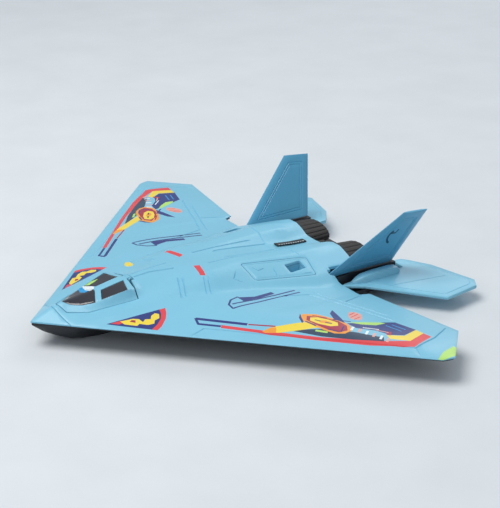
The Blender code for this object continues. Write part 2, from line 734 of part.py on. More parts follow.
def build_stabilizer(side, label):
    """Build one stabilizer and the pin that it turns on."""
    bm = bmesh.new()
    half = STAB_THICKNESS / 2.0
    prism(bm, [(side * x, y) for x, y in STAB_OUTLINE], -half, half)
    for vert in bm.verts:
        vert.co.z += STAB_ROOT[1] - STAB_FALL * (abs(vert.co.x) - STAB_ROOT[0])
    origin = (side * STAB_RIB_X[0], STAB_AXIS[0], STAB_AXIS[1])
    plane = add_object(f"{label}_stabilizer", bm, "hull_blue", origin, smooth=None)
    rib = bmesh.new()
    xs = sorted(side * x for x in STAB_RIB_X)
    prism(rib, rectangle(xs, STAB_RIB_Y), STAB_RIB_BOTTOM_Z, STAB_RIB_TOP_Z)
    combine(plane, add_object(f"{label}_rib_tool", rib, None, smooth=None), "UNION")
    inner_x = fin_mid_x(0.0) - DECK_WALL / 2
    outer_x = STAB_RIB_X[0] + STAB_PIN_BITE
    bore = bmesh.new()
    start, end = sorted((side * inner_x, side * (outer_x + GAP)))
    prism(bore, ring(STAB_AXIS, STAB_PIN_RADIUS + PIN_CLEARANCE), start, end, "x")
    combine(plane, add_object(f"{label}_pivot_tool", bore, None, smooth=None), "DIFFERENCE")
    pin = bmesh.new()
    start, end = sorted((side * inner_x, side * outer_x))
    prism(pin, ring(STAB_AXIS, STAB_PIN_RADIUS), start, end, "x")
    add_object(f"{label}_stabilizer_pin", pin, "steel", (side * inner_x,) + STAB_AXIS)


def petal_loop(scale, inset, y, side):
    """Return one ring of a nozzle, with a shallow groove between every two petals."""
    points = []
    count = NOZZLE_PETALS * 2
    for i in range(count):
        angle = 2 * math.pi * i / count
        grow = scale * (1.0 if i % 2 else NOZZLE_GROOVE)
        points.append((side * NOZZLE_X + (NOZZLE_RADII[0] * grow - inset) * math.cos(angle), y,
                       NOZZLE_Z + (NOZZLE_RADII[1] * grow - inset) * math.sin(angle)))
    return points


def build_nozzle(side, label):
    """Build one flat petalled nozzle, closed at the front and open at the rear."""
    front = NACELLE_END_Y - NOZZLE_BITE
    rear = front + NOZZLE_LENGTH
    loops = [petal_loop(NOZZLE_FRONT, 0.0, front, side), petal_loop(NOZZLE_MOUTH, 0.0, rear, side),
             petal_loop(NOZZLE_MOUTH, NOZZLE_WALL, rear, side),
             petal_loop(NOZZLE_MOUTH, NOZZLE_WALL * 1.5, rear - NOZZLE_DEPTH, side)]
    bm = bmesh.new()
    rings = [[bm.verts.new(p) for p in loop] for loop in loops]
    for low, high in zip(rings, rings[1:]):
        for i in range(len(low)):
            j = (i + 1) % len(low)
            bm.faces.new((low[i], low[j], high[j], high[i]))
    bm.faces.new(rings[0])
    bm.faces.new(rings[-1])
    add_object(f"{label}_nozzle", bm, "nozzle_charcoal", (side * NOZZLE_X, front, NOZZLE_Z))


def build_bridge():
    """Build the dark web between the nozzles."""
    bm = bmesh.new()
    front = NACELLE_END_Y + GAP
    prism(bm, rectangle((-BRIDGE_HALF_WIDTH, BRIDGE_HALF_WIDTH), (front, front + BRIDGE_LENGTH)),
          DECK_TOP_Z + GAP, BRIDGE_TOP_Z)
    add_object("nozzle_bridge", bm, "nozzle_charcoal")


def hinge_axis():
    """Return the y and z of the canopy hinge."""
    return (HINGE_Y, top_height(0.0, HINGE_Y) - HINGE_DROP)


def canopy_pivot():
    """Return the empty on the hinge axis, which carries the canopy's pieces."""
    found = bpy.data.objects.get("canopy_pivot")
    if not found:
        found = bpy.data.objects.new("canopy_pivot", None)
        bpy.context.collection.objects.link(found)
        found.parent = datum()
        found.location = Vector((0.0,) + hinge_axis()) * MM
    return found


def hinge_bore(name):
    """Build the cutter that bores a piece for the hinge pin."""
    bore = bmesh.new()
    reach = hinge_half_width() + 4.0
    prism(bore, ring(hinge_axis(), PIN_RADIUS + PIN_CLEARANCE), -reach, reach, "x")
    return add_object(name, bore, None, smooth=None)


def build_canopy_frame():
    """Build the canopy frame, with its window openings and its hinge knuckle."""
    axis = hinge_axis()
    skin_end = HINGE_Y - HINGE_NOTCH_FRONT
    outline = canopy_outline(0.0) + [(hinge_half_width(), skin_end), (0.0, skin_end)]
    outline += reversed(WINDSHIELD)
    bm = skin(outline, top_height, lambda x, y: top_height(x, y) - CANOPY_WALL, SMALL_PITCH,
              holes=[SIDE_WINDOW])
    frame = add_object("canopy_frame", bm, "hull_blue", (0.0,) + axis, canopy_pivot())
    knuckle = bmesh.new()
    prism(knuckle, ring(axis, KNUCKLE_RADIUS), -KNUCKLE_HALF, KNUCKLE_HALF, "x")
    combine(frame, add_object("knuckle_tool", knuckle, None, smooth=None), "UNION")
    web = bmesh.new()
    low, high = axis[1] - KNUCKLE_WEB_Z[0], axis[1] + KNUCKLE_WEB_Z[1]
    profile = rectangle((skin_end - KNUCKLE_WEB_REACH, axis[0]), (low, high))
    prism(web, profile, -KNUCKLE_WEB_HALF, KNUCKLE_WEB_HALF, "x")
    combine(frame, add_object("knuckle_web_tool", web, None, smooth=None), "UNION")
    combine(frame, hinge_bore("knuckle_bore_tool"), "DIFFERENCE")


def build_canopy_glazing():
    """Build the smoked glazing that lies under the canopy frame."""
    _, cheek, corner, rear = canopy_outline(-GLAZING_INSET)
    end = HINGE_Y - HINGE_NOTCH_FRONT - GLAZING_END
    outline = [(0.0, CANOPY_FRONT_Y + GLAZING_INSET), cheek, corner, rear,
               (hinge_half_width(), end), (0.0, end)]
    drop = CANOPY_WALL + 2.0 * GAP
    bm = skin(outline, lambda x, y: top_height(x, y) - drop,
              lambda x, y: top_height(x, y) - drop - GLAZING_WALL, SMALL_PITCH)
    add_object("canopy_glazing", bm, "window_smoke", (0.0,) + hinge_axis(), canopy_pivot())


def build_hinge():
    """Build the hinge pin and the bracket that holds it under the upper shell."""
    axis = hinge_axis()
    half = KNUCKLE_HALF + GAP + EAR_WIDTH
    pin = bmesh.new()
    prism(pin, ring(axis, PIN_RADIUS), -half, half, "x")
    add_object("canopy_hinge_pin", pin, "steel", (0.0,) + axis)
    rear = HINGE_Y + BRACKET_LENGTH
    under = min(top_height(half, y) for y in (HINGE_Y + HINGE_NOTCH_REAR, rear))
    roof = under - UPPER_WALL - 2.0 * GAP
    base = bmesh.new()
    profile = rectangle((HINGE_Y - EAR_RADIUS, rear), (roof - BRACKET_WALL, roof))
    prism(base, profile, -half, half, "x")
    bracket = add_object("hinge_bracket", base, "belly_black")
    ears = bmesh.new()
    low = roof - BRACKET_WALL / 2.0
    ear = [(axis[0] - EAR_RADIUS, low), (axis[0] + EAR_RADIUS, low),
           (axis[0] + EAR_RADIUS, axis[1] + 0.3 * EAR_RADIUS),
           (axis[0] + 0.4 * EAR_RADIUS, axis[1] + EAR_RADIUS),
           (axis[0] - 0.4 * EAR_RADIUS, axis[1] + EAR_RADIUS),
           (axis[0] - EAR_RADIUS, axis[1] + 0.3 * EAR_RADIUS)]
    for side in (1, -1):
        start, end = sorted((side * (half - EAR_WIDTH), side * half))
        prism(ears, ear, start, end, "x")
    combine(bracket, add_object("ear_tool", ears, None, smooth=None), "UNION")
    combine(bracket, hinge_bore("ear_bore_tool"), "DIFFERENCE")


def build_cockpit():
    """Build the tub with its seat, instrument panel and stick, and the weight below it."""
    floor = TUB_FLOOR_Z + TUB_WALL
    bm = tray((-TUB_HALF_WIDTH, TUB_HALF_WIDTH), (TUB_FRONT_Y, TUB_REAR_Y), TUB_FLOOR_Z, floor,
              TUB_WALL, lambda x, y: TUB_RIM_Z)
    add_object("cockpit_tub", bm, "cockpit_grey")
    base = floor + GAP
    front = TUB_FRONT_Y + TUB_WALL + GAP
    panel = bmesh.new()
    half = TUB_HALF_WIDTH - TUB_WALL - GAP
    profile = [(front, base), (front + PANEL_THICKNESS + PANEL_FOOT, base),
               (front + PANEL_THICKNESS, base + PANEL_HEIGHT), (front, base + PANEL_HEIGHT)]
    prism(panel, profile, -half, half, "x")
    add_object("instrument_panel", panel, "cockpit_grey")
    stick = bmesh.new()
    prism(stick, ring((0.0, STICK_Y), STICK_RADIUS), base, base + STICK_LENGTH)
    add_object("control_stick", stick, "belly_black")
    seat = bmesh.new()
    profile = [(SEAT_Y, base), (SEAT_Y + SEAT_LENGTH + SEAT_BACK, base),
               (SEAT_Y + SEAT_LENGTH + SEAT_BACK + SEAT_RAKE, base + SEAT_BACK_HEIGHT),
               (SEAT_Y + SEAT_LENGTH + SEAT_RAKE, base + SEAT_BACK_HEIGHT),
               (SEAT_Y + SEAT_LENGTH, base + SEAT_HEIGHT), (SEAT_Y, base + SEAT_HEIGHT)]
    prism(seat, profile, -SEAT_WIDTH / 2.0, SEAT_WIDTH / 2.0, "x")
    add_object("pilot_seat", seat, "cockpit_grey", smooth=None)
    build_weight()


def build_weight():
    """Build the round nose weight that fills the room between the belly and the tub."""
    radius = (BELLY_DEPTH + TUB_FLOOR_Z - LOWER_WALL) / 2.0 - GAP
    weight = bmesh.new()
    centre_z = TUB_FLOOR_Z - GAP - radius
    start = BELLY_FULL_Y + GAP
    loop = ring((0.0, centre_z), radius)
    ends = [[weight.verts.new((x, y, z)) for x, z in loop] for y in (start, start + WEIGHT_LENGTH)]
    weight.faces.new(ends[0])
    weight.faces.new(ends[1][::-1])
    for i in range(len(loop)):
        j = (i + 1) % len(loop)
        weight.faces.new((ends[0][i], ends[1][i], ends[1][j], ends[0][j]))
    add_object("nose_weight", weight, "steel")


def build_dorsal_panel(side, label):
    """Build one dorsal panel and the socket cup under its square hole."""
    hole = rectangle(SOCKET_X, SOCKET_Y)
    bm = skin(panel_outline(0.0), top_height, upper_floor, SMALL_PITCH, holes=[hole],
              mirrored=False)
    xs = (SOCKET_X[0] - SOCKET_WALL, SOCKET_X[1] + SOCKET_WALL)
    ys = (SOCKET_Y[0] - SOCKET_WALL, SOCKET_Y[1] + SOCKET_WALL)
    floor = top_height(SOCKET_X[1], SOCKET_Y[1]) - SOCKET_DEPTH
    cup = tray(xs, ys, floor - SOCKET_WALL, floor, SOCKET_WALL,
               lambda x, y: top_height(x, y) - UPPER_WALL - GAP)
    for name, mesh in ((f"{label}_dorsal_panel", bm), (f"{label}_socket_cup", cup)):
        if side < 0:
            mesh.transform(Matrix.Scale(-1.0, 4, (1.0, 0.0, 0.0)))
            bmesh.ops.reverse_faces(mesh, faces=mesh.faces)
        add_object(name, mesh, "hull_blue")


def build_spine_vent():
    """Build the dark vent strip that lies in the valley between the nacelles."""
    outline = [(0.0, VENT_Y[0]), (VENT_HALF_WIDTH, VENT_Y[0]), (VENT_HALF_WIDTH, VENT_Y[1]),
               (0.0, VENT_Y[1])]
    bm = skin(outline, lambda x, y: top_height(0.0, y) + GAP + VENT_THICKNESS,
              lambda x, y: top_height(0.0, y) + GAP, SMALL_PITCH)
    add_object("spine_vent", bm, "belly_black")


def build_screw(name, x, y):
    """Build one self-tapping screw, its head down."""
    seat = screw_seat(x, y)
    bm = bmesh.new()
    radius, height = SCREW_HEAD
    levels = ((seat - height, radius), (seat - SCREW_CLEARANCE / 2, radius),
              (seat - SCREW_CLEARANCE / 2, SCREW_SHANK_RADIUS),
              (seat + SCREW_LENGTH, SCREW_SHANK_RADIUS))
    loops = [[bm.verts.new((px, py, z)) for px, py in ring((x, y), r)] for z, r in levels]
    for low, high in zip(loops, loops[1:]):
        for i in range(ROUND):
            j = (i + 1) % ROUND
            bm.faces.new((low[i], low[j], high[j], high[i]))
    bm.faces.new(loops[0][::-1])
    bm.faces.new(loops[-1])
    add_object(name, bm, "steel", (x, y, seat))


def main():
    """Clear the scene and build every piece."""
    for old in list(bpy.data.objects):
        bpy.data.objects.remove(old, do_unlink=True)
    build_upper_hull()
    build_nose_cap()
    build_lower_hull()
    build_tail_deck()
    build_fins()
    build_bridge()
    build_canopy_frame()
    build_canopy_glazing()
    build_hinge()
    build_cockpit()
    build_spine_vent()
    for side, label in ((1, "left"), (-1, "right")):
        build_stabilizer(side, label)
        build_nozzle(side, label)
        build_dorsal_panel(side, label)
        for spot, place in zip(WING_SCREWS + (TAIL_SCREW,), ("inner", "outer", "tail")):
            build_screw(f"{label}_{place}_screw", side * spot[0], spot[1])


main()
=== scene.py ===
"""Moulded toy jet glider: the looks of every piece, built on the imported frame.

Sizes are in millimetres in the shell's own axes, the same as the solid model's: x out from the
centre line, y back from the nose tip and z up from the seam. Carrier turns them into metres.
"""

from __future__ import annotations

import logging
import math
from dataclasses import dataclass, field
from enum import Enum
from typing import Callable, Iterable, Sequence

import bmesh
import bpy
import numpy as np
from mathutils import Matrix, Vector
from mathutils.geometry import delaunay_2d_cdt

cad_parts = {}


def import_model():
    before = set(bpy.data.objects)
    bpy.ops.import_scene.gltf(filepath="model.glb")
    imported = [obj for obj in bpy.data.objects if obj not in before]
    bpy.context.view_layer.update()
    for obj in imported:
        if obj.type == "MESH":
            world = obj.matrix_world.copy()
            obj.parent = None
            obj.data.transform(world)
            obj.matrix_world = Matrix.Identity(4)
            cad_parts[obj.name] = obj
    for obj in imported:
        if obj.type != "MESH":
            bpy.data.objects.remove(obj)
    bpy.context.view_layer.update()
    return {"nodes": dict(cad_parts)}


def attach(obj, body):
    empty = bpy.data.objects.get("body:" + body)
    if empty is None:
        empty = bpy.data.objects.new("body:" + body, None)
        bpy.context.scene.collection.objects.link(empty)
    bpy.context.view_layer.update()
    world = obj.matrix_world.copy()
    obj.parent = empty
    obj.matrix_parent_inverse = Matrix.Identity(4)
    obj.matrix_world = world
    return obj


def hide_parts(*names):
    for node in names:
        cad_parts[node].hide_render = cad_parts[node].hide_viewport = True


log = logging.getLogger("glider")

Point = tuple[float, float]
Height = Callable[[float, float], float]
Colour = tuple[float, float, float]

MM = 0.001
HALF_LENGTH = 117.15
SEAM_LEVEL = 13.2
GAP = 0.3
ON_LINE = 1e-3        # a point this near a line lies on it
SLIVER = 2e-3         # a triangle with less than this twice-area is a sliver
WELD = 1e-4           # the triangulation joins points this near each other
ROW_PITCH = 0.87      # distance between staggered rows of points, against the pitch
CLEAR_SHARE = 0.55    # how near a free point may come to a line, against the pitch
ROOM_SHARE = 0.42     # the most that one side's grooves and edges may take off a sheet


class Body(str, Enum):
    """The frame's moving bodies."""

    AIRFRAME = "airframe"
    CANOPY = "canopy"
    STABILIZER_LEFT = "stabilizer_left"
    STABILIZER_RIGHT = "stabilizer_right"


class Side(Enum):
    """The side of the centre line that a marking is on."""

    PORT = 1
    STARBOARD = -1
    BOTH = 0


class Grain(Enum):
    """The kind of surface a finish has."""

    MOULDED = "moulded"
    GLOSSY = "glossy"
    SOOTY = "sooty"
    PRINTED = "printed"
    TURNED = "turned"


def linear(code: str) -> Colour:
    """Turn a six-digit display colour into scene-linear values.

    Args:
        code: the colour as six hexadecimal digits.

    Returns:
        Red, green and blue in linear light.
    """
    values = (int(code[i:i + 2], 16) / 255.0 for i in (0, 2, 4))
    return tuple(v / 12.92 if v <= 0.04045 else ((v + 0.055) / 1.055) ** 2.4 for v in values)


@dataclass(frozen=True)
class Finish:
    """A procedural finish: its colour, gloss and grain."""

    name: str
    colour: str
    roughness: float
    grain: Grain
    slot: str
    metallic: float = 0.0
    coat: float = 0.0
    variation: float = 0.06

    def material(self) -> bpy.types.Material:
        """Build the material once and return it.

        Returns:
            The material of this finish.
        """
        found = bpy.data.materials.get(self.name)
        if found:
            return found
        made = bpy.data.materials.new(self.name)
        made.use_nodes = True
        tree = made.node_tree
        shader = tree.nodes["Principled BSDF"]
        shader.inputs["Metallic"].default_value = self.metallic
        shader.inputs["Coat Weight"].default_value = self.coat
        shader.inputs["Coat Roughness"].default_value = 0.08
        place = tree.nodes.new("ShaderNodeTexCoord")
        self._tone(tree, shader, place)
        self._gloss(tree, shader, place)
        self._relief(tree, shader, place)
        made.diffuse_color = linear(self.colour) + (1.0,)
        return made

    def _noise(self, tree: bpy.types.NodeTree, place: bpy.types.Node, scale: float,
               detail: float, stretch: Sequence[float] = (1.0, 1.0, 1.0)) -> bpy.types.Node:
        """Add a noise texture.

        Args:
            tree: the node tree to add to.
            place: the texture coordinate node.
            scale: features per metre.
            detail: octaves of detail.
            stretch: scale along each axis.

        Returns:
            The noise node.
        """
        mapping = tree.nodes.new("ShaderNodeMapping")
        mapping.inputs["Scale"].default_value = stretch
        tree.links.new(place.outputs["Object"], mapping.inputs["Vector"])
        noise = tree.nodes.new("ShaderNodeTexNoise")
        noise.inputs["Scale"].default_value = scale
        noise.inputs["Detail"].default_value = detail
        tree.links.new(mapping.outputs["Vector"], noise.inputs["Vector"])
        return noise

    def _tone(self, tree: bpy.types.NodeTree, shader: bpy.types.Node,
              place: bpy.types.Node) -> None:
        """Give the colour a slow mottle and fine specks.

        Args:
            tree: the node tree.
            shader: the Principled shader.
            place: the texture coordinate node.
        """
        base = linear(self.colour)
        slow = self._noise(tree, place, 22.0, 3.0)
        mix = tree.nodes.new("ShaderNodeMix")
        mix.data_type = "RGBA"
        mix.inputs[6].default_value = tuple(c * (1.0 - self.variation) for c in base) + (1.0,)
        mix.inputs[7].default_value = tuple(min(c * (1.0 + self.variation), 1.0)
                                            for c in base) + (1.0,)
        tree.links.new(slow.outputs["Fac"], mix.inputs["Factor"])
        specks = self._noise(tree, place, 2600.0, 1.0)
        ramp = tree.nodes.new("ShaderNodeMapRange")
        ramp.inputs["From Min"].default_value = 0.66
        ramp.inputs["From Max"].default_value = 0.76
        ramp.inputs["To Max"].default_value = 0.35
        tree.links.new(specks.outputs["Fac"], ramp.inputs["Value"])
        dust = tree.nodes.new("ShaderNodeMix")
        dust.data_type = "RGBA"
        dust.inputs[7].default_value = tuple(min(c * 1.15 + 0.015, 1.0) for c in base) + (1.0,)
        tree.links.new(ramp.outputs["Result"], dust.inputs["Factor"])
        tree.links.new(mix.outputs[2], dust.inputs[6])
        tree.links.new(dust.outputs[2], shader.inputs["Base Color"])

    def _gloss(self, tree: bpy.types.NodeTree, shader: bpy.types.Node,
               place: bpy.types.Node) -> None:
        """Let the roughness wander as handled plastic does.

        Args:
            tree: the node tree.
            shader: the Principled shader.
            place: the texture coordinate node.
        """
        smear = self._noise(tree, place, 90.0, 4.0, (1.0, 0.35, 1.0))
        spread = tree.nodes.new("ShaderNodeMapRange")
        spread.inputs["From Min"].default_value = 0.3
        spread.inputs["From Max"].default_value = 0.7
        spread.inputs["To Min"].default_value = max(self.roughness - 0.07, 0.02)
        spread.inputs["To Max"].default_value = min(self.roughness + 0.09, 1.0)
        tree.links.new(smear.outputs["Fac"], spread.inputs["Value"])
        tree.links.new(spread.outputs["Result"], shader.inputs["Roughness"])

    def _relief(self, tree: bpy.types.NodeTree, shader: bpy.types.Node,
                place: bpy.types.Node) -> None:
        """Add the fine relief of the grain.

        Args:
            tree: the node tree.
            shader: the Principled shader.
            place: the texture coordinate node.
        """
        scale, strength, stretch = {
            Grain.MOULDED: (1100.0, 0.10, (1.0, 1.0, 1.0)),
            Grain.GLOSSY: (160.0, 0.04, (1.0, 1.0, 1.0)),
            Grain.SOOTY: (520.0, 0.55, (1.0, 0.22, 1.0)),
            Grain.PRINTED: (1700.0, 0.06, (1.0, 1.0, 1.0)),
            Grain.TURNED: (900.0, 0.12, (1.0, 1.0, 8.0)),
        }[self.grain]
        noise = self._noise(tree, place, scale, 3.0, stretch)
        bump = tree.nodes.new("ShaderNodeBump")
        bump.inputs["Strength"].default_value = strength
        bump.inputs["Distance"].default_value = 0.0004
        tree.links.new(noise.outputs["Fac"], bump.inputs["Height"])
        tree.links.new(bump.outputs["Normal"], shader.inputs["Normal"])


@dataclass(frozen=True)
class Palette:
    """Every finish on the glider."""

    hull: Finish = Finish("hull_plastic", "7FC2DC", 0.4, Grain.MOULDED, "hull_blue", coat=0.12)
    # The fins are the hull's blue plastic painted darker: painted shade for their faces turned away
    # from the light.
    fin: Finish = Finish("fin_plastic_painted_shade", "58A6CA", 0.38, Grain.MOULDED, "hull_blue", coat=0.12)
    belly: Finish = Finish("belly_plastic", "202328", 0.46, Grain.MOULDED, "belly_black")
    window: Finish = Finish("window_smoke_gloss", "2B2A33", 0.14, Grain.GLOSSY, "window_smoke",
                            coat=0.6, variation=0.12)
    nozzle: Finish = Finish("nozzle_sooty", "363433", 0.72, Grain.SOOTY, "nozzle_charcoal",
                            variation=0.22)
    # The throat is the nozzles' charcoal plastic painted much darker: painted shade deep inside the
    # mouths.
    shaded_throat: Finish = Finish("nozzle_mouth_painted_shade", "161415", 0.8, Grain.SOOTY, "nozzle_charcoal")
    cockpit: Finish = Finish("cockpit_plastic", "565A5E", 0.58, Grain.MOULDED, "cockpit_grey")
    steel: Finish = Finish("screw_steel", "B4B6B8", 0.3, Grain.TURNED, "steel", metallic=1.0)
    red: Finish = Finish("print_red", "E0494F", 0.34, Grain.PRINTED, "hull_blue")
    dark_red: Finish = Finish("print_dark_red", "A8324A", 0.34, Grain.PRINTED, "hull_blue")
    pink: Finish = Finish("print_pink", "E7A89C", 0.36, Grain.PRINTED, "hull_blue")
    yellow: Finish = Finish("print_yellow", "F2D84B", 0.34, Grain.PRINTED, "hull_blue")
    orange: Finish = Finish("print_orange", "F0A040", 0.34, Grain.PRINTED, "hull_blue")
    navy: Finish = Finish("print_navy", "2F3C7E", 0.34, Grain.PRINTED, "hull_blue")
    slate: Finish = Finish("print_slate", "33475F", 0.34, Grain.PRINTED, "hull_blue")
    lime: Finish = Finish("print_lime", "B4E272", 0.34, Grain.PRINTED, "hull_blue")
    white: Finish = Finish("print_white", "E9F1F3", 0.34, Grain.PRINTED, "hull_blue")
    sky: Finish = Finish("print_sky", "1C9FE0", 0.34, Grain.PRINTED, "hull_blue")
    mark: Finish = Finish("fin_mark", "12405F", 0.4, Grain.PRINTED, "hull_blue")


PALETTE = Palette()


def interpolate(value: float, line: Sequence[Point]) -> float:
    """Read a piecewise straight line, held level beyond both ends.

    Args:
        value: where to read it.
        line: (position, reading) pairs in order.

    Returns:
        The reading there.
    """
    if value <= line[0][0]:
        return line[0][1]
    for (low, at_low), (high, at_high) in zip(line, line[1:]):
        if value <= high:
            return at_low + (at_high - at_low) * (value - low) / (high - low)
    return line[-1][1]


def soft_max(first: float, second: float, width: float) -> float:
    """Return the larger of two heights, rounded where they cross.

    Args:
        first: one height.
        second: the other height.
        width: how wide the rounding is.

    Returns:
        The blended height.
    """
    share = min(max(0.5 + 0.5 * (first - second) / width, 0.0), 1.0)
    return second + (first - second) * share + width * share * (1.0 - share)


@dataclass(frozen=True)
class ShellForm:
    """The upper and lower surfaces of the shells as heights over the plan."""

    half_span: float = 151.5
    leading_slope: float = 0.995
    tip_facet: Point = (1.5, 6.5)
    tip_rake: Point = (21.7, 20.8)
    trailing_root: Point = (68.9, 167.1)
    notch: Point = (66.8, 161.8)
    nacelle_edge_x: float = 38.2
    nacelle_end_y: float = 180.0
    leading_edge: float = 0.6
    leading_rise: float = 0.15
    trailing_edge: float = 0.9
    trailing_rise: float = 0.08
    wing_crown: tuple[Point, ...] = ((0.0, 7.6), (48.0, 6.6), (75.0, 5.4), (105.0, 3.9),
                                     (135.0, 2.6), (151.5, 1.9))
    blend: float = 1.0
    body_fall: float = 0.6
    upper_wall: float = 1.6
    lower_wall: float = 1.6
    seam_gap: float = 0.3
    belly_line: tuple[Point, ...] = ((0.0, 0.6), (1.3, 1.8), (6.3, 5.9), (12.8, 8.8),
                                     (19.2, 10.7), (25.8, 12.2), (36.0, 13.2), (148.0, 13.2),
                                     (161.8, 9.0))
    belly_flat: float = 7.5
    belly_side: float = 17.0
    flat_spread: float = 0.4
    side_spread: float = 0.93
    pan_edge: float = 0.8
    pan_slope: float = 0.06
    pan_depth: float = 3.4
    sections: tuple[tuple[float, tuple[Point, ...]], ...] = (
        (0.0, ((0, 0.6), (0.19, 0.6), (0.39, 0.6), (0.6, 0.6), (0.8, 0.6), (1.01, 0.6))),
        (12.6, ((0, 5.8), (0.45, 5.8), (1.05, 5.7), (2.1, 5.4), (6.8, 3.2), (12.6, 0.6))),
        (18.8, ((0, 7.5), (0.6, 7.4), (1.5, 7.2), (3.6, 5.7), (6.0, 4.2), (18.8, 0.6))),
        (27.0, ((0, 8.4), (0.9, 8.4), (1.8, 8.2), (6.9, 7.0), (11.4, 3.9), (22.5, 1.8))),
        (36.3, ((0, 9.6), (1.2, 9.6), (2.1, 9.4), (10.5, 8.1), (13.5, 4.8), (23.2, 3.6))),
        (50.7, ((0, 12.0), (1.5, 12.0), (2.5, 12.0), (13.5, 11.6), (15.9, 6.3), (24.0, 5.3))),
        (53.7, ((0, 12.5), (1.5, 12.5), (2.6, 12.4), (13.2, 10.9), (16.2, 6.8), (24.0, 5.4))),
        (59.4, ((0, 12.3), (1.5, 12.2), (3.0, 12.0), (9.0, 10.2), (16.5, 7.5), (25.2, 5.5))),
        (69.0, ((0, 13.2), (1.8, 13.0), (4.5, 12.3), (12.0, 10.2), (19.5, 8.4), (27.8, 5.7))),
        (76.5, ((0, 13.0), (1.8, 13.0), (6.0, 12.2), (12.8, 10.8), (21.0, 9.2), (30.0, 5.8))),
        (87.0, ((0, 12.8), (3.0, 12.5), (7.5, 12.2), (15.0, 12.0), (22.5, 10.1), (31.5, 6.0))),
        (97.5, ((0, 12.3), (4.5, 12.3), (10.5, 12.8), (18.8, 12.9), (24.0, 11.2), (32.7, 6.2))),
        (117.0, ((0, 11.7), (4.5, 11.7), (10.5, 12.8), (17.2, 12.8), (22.5, 11.1), (33.8, 6.3))),
        (150.0, ((0, 8.4), (5.0, 8.4), (13.5, 11.8), (23.2, 12.2), (28.5, 10.2), (42.7, 5.7))),
        (163.5, ((0, 6.9), (5.0, 6.9), (13.5, 11.6), (22.8, 12.0), (28.5, 10.1), (41.2, 5.4))),
        (180.0, ((0, 6.0), (7.5, 6.3), (12.8, 9.0), (17.7, 10.6), (24.8, 10.5), (37.8, 5.4))),
    )

    def tip_corners(self) -> tuple[Point, Point, Point]:
        """Return the wing tip's corners.

        Returns:
            The front, rear and trailing corners.
        """
        front_x = self.half_span - self.tip_facet[0]
        front = (front_x, front_x * self.leading_slope)
        rear = (self.half_span, front[1] + self.tip_facet[1])
        return front, rear, (rear[0] - self.tip_rake[0], rear[1] + self.tip_rake[1])

    def trailing_y(self, x: float) -> float:
        """Return the wing's rear edge.

        Args:
            x: distance from the centre line.

        Returns:
            The station of the rear edge.
        """
        _, rear, trailing = self.tip_corners()
        return interpolate(x, (self.notch, self.trailing_root, trailing, rear))

    def section(self, y: float) -> list[Point]:
        """Return the upper body's points at a station.

        Args:
            y: the station.

        Returns:
            (half width, height) points from the centre line outwards.
        """
        for (front, near), (rear, far) in zip(self.sections, self.sections[1:]):
            if y <= rear:
                share = (y - front) / (rear - front)
                return [(a[0] + (b[0] - a[0]) * share, a[1] + (b[1] - a[1]) * share)
                        for a, b in zip(near, far)]
        return list(self.sections[-1][1])

    def top(self, x: float, y: float) -> float:
        """Return the height of the upper surface.

        Args:
            x: distance from the centre line, either side.
            y: the station.

        Returns:
            The height above the seam.
        """
        x = abs(x)
        section = self.section(y)
        foot_x, foot_z = section[-1]
        body = interpolate(x, section) if x < foot_x else foot_z - self.body_fall * (x - foot_x)
        front = self.leading_edge + self.leading_rise * max(y - x * self.leading_slope, 0.0)
        rear = self.trailing_edge + self.trailing_rise * max(self.trailing_y(x) - y, 0.0)
        wing = -soft_max(-front, -rear, self.blend)
        wing = -soft_max(-wing, -interpolate(x, self.wing_crown), self.blend)
        return soft_max(body, max(wing, self.leading_edge), self.blend)

    def bottom(self, x: float, y: float) -> float:
        """Return the height of the lower surface.

        Args:
            x: distance from the centre line, either side.
            y: the station.

        Returns:
            The height, below zero.
        """
        x = abs(x)
        inland = min(y - x * self.leading_slope, self.trailing_y(x) - y)
        pan = min(self.pan_edge + self.pan_slope * max(inland, 0.0), self.pan_depth)
        flat = min(self.belly_flat, self.flat_spread * y)
        side = min(self.belly_side, self.side_spread * y)
        belly = interpolate(x, ((flat, interpolate(y, self.belly_line)), (side, self.pan_edge)))
        return -max(pan, belly)

    def floor(self, x: float, y: float) -> float:
        """Return the inner face of the upper shell.

        Args:
            x: distance from the centre line, either side.
            y: the station.

        Returns:
            The height above the seam.
        """
        return max(self.top(x, y) - self.upper_wall, self.seam_gap / 2.0)

    def ceiling(self, x: float, y: float) -> float:
        """Return the inner face of the lower shell.

        Args:
            x: distance from the centre line, either side.
            y: the station.

        Returns:
            The height, below zero.
        """
        return min(self.bottom(x, y) + self.lower_wall, -self.seam_gap / 2.0)

    def body_lines(self, front: float, rear: float) -> list[list[Point]]:
        """Return the body's moulded edges as lines between two stations.

        Args:
            front: the first station.
            rear: the last station.

        Returns:
            One line for each edge.
        """
        stations = [front] + [y for y, _ in self.sections if front < y < rear] + [rear]
        return [[(self.section(y)[i][0], y) for y in stations] for i in range(2, 6)]


FORM = ShellForm()


def inside(point: Point, outline: Sequence[Point]) -> bool:
    """Tell whether a point lies inside a closed outline.

    Args:
        point: the point.
        outline: the outline's corners.

    Returns:
        True if it does.
    """
    x, y = point
    within = False
    for (x0, y0), (x1, y1) in zip(outline, list(outline[1:]) + list(outline[:1])):
        if (y0 > y) != (y1 > y) and x < x0 + (x1 - x0) * (y - y0) / (y1 - y0):
            within = not within
    return within


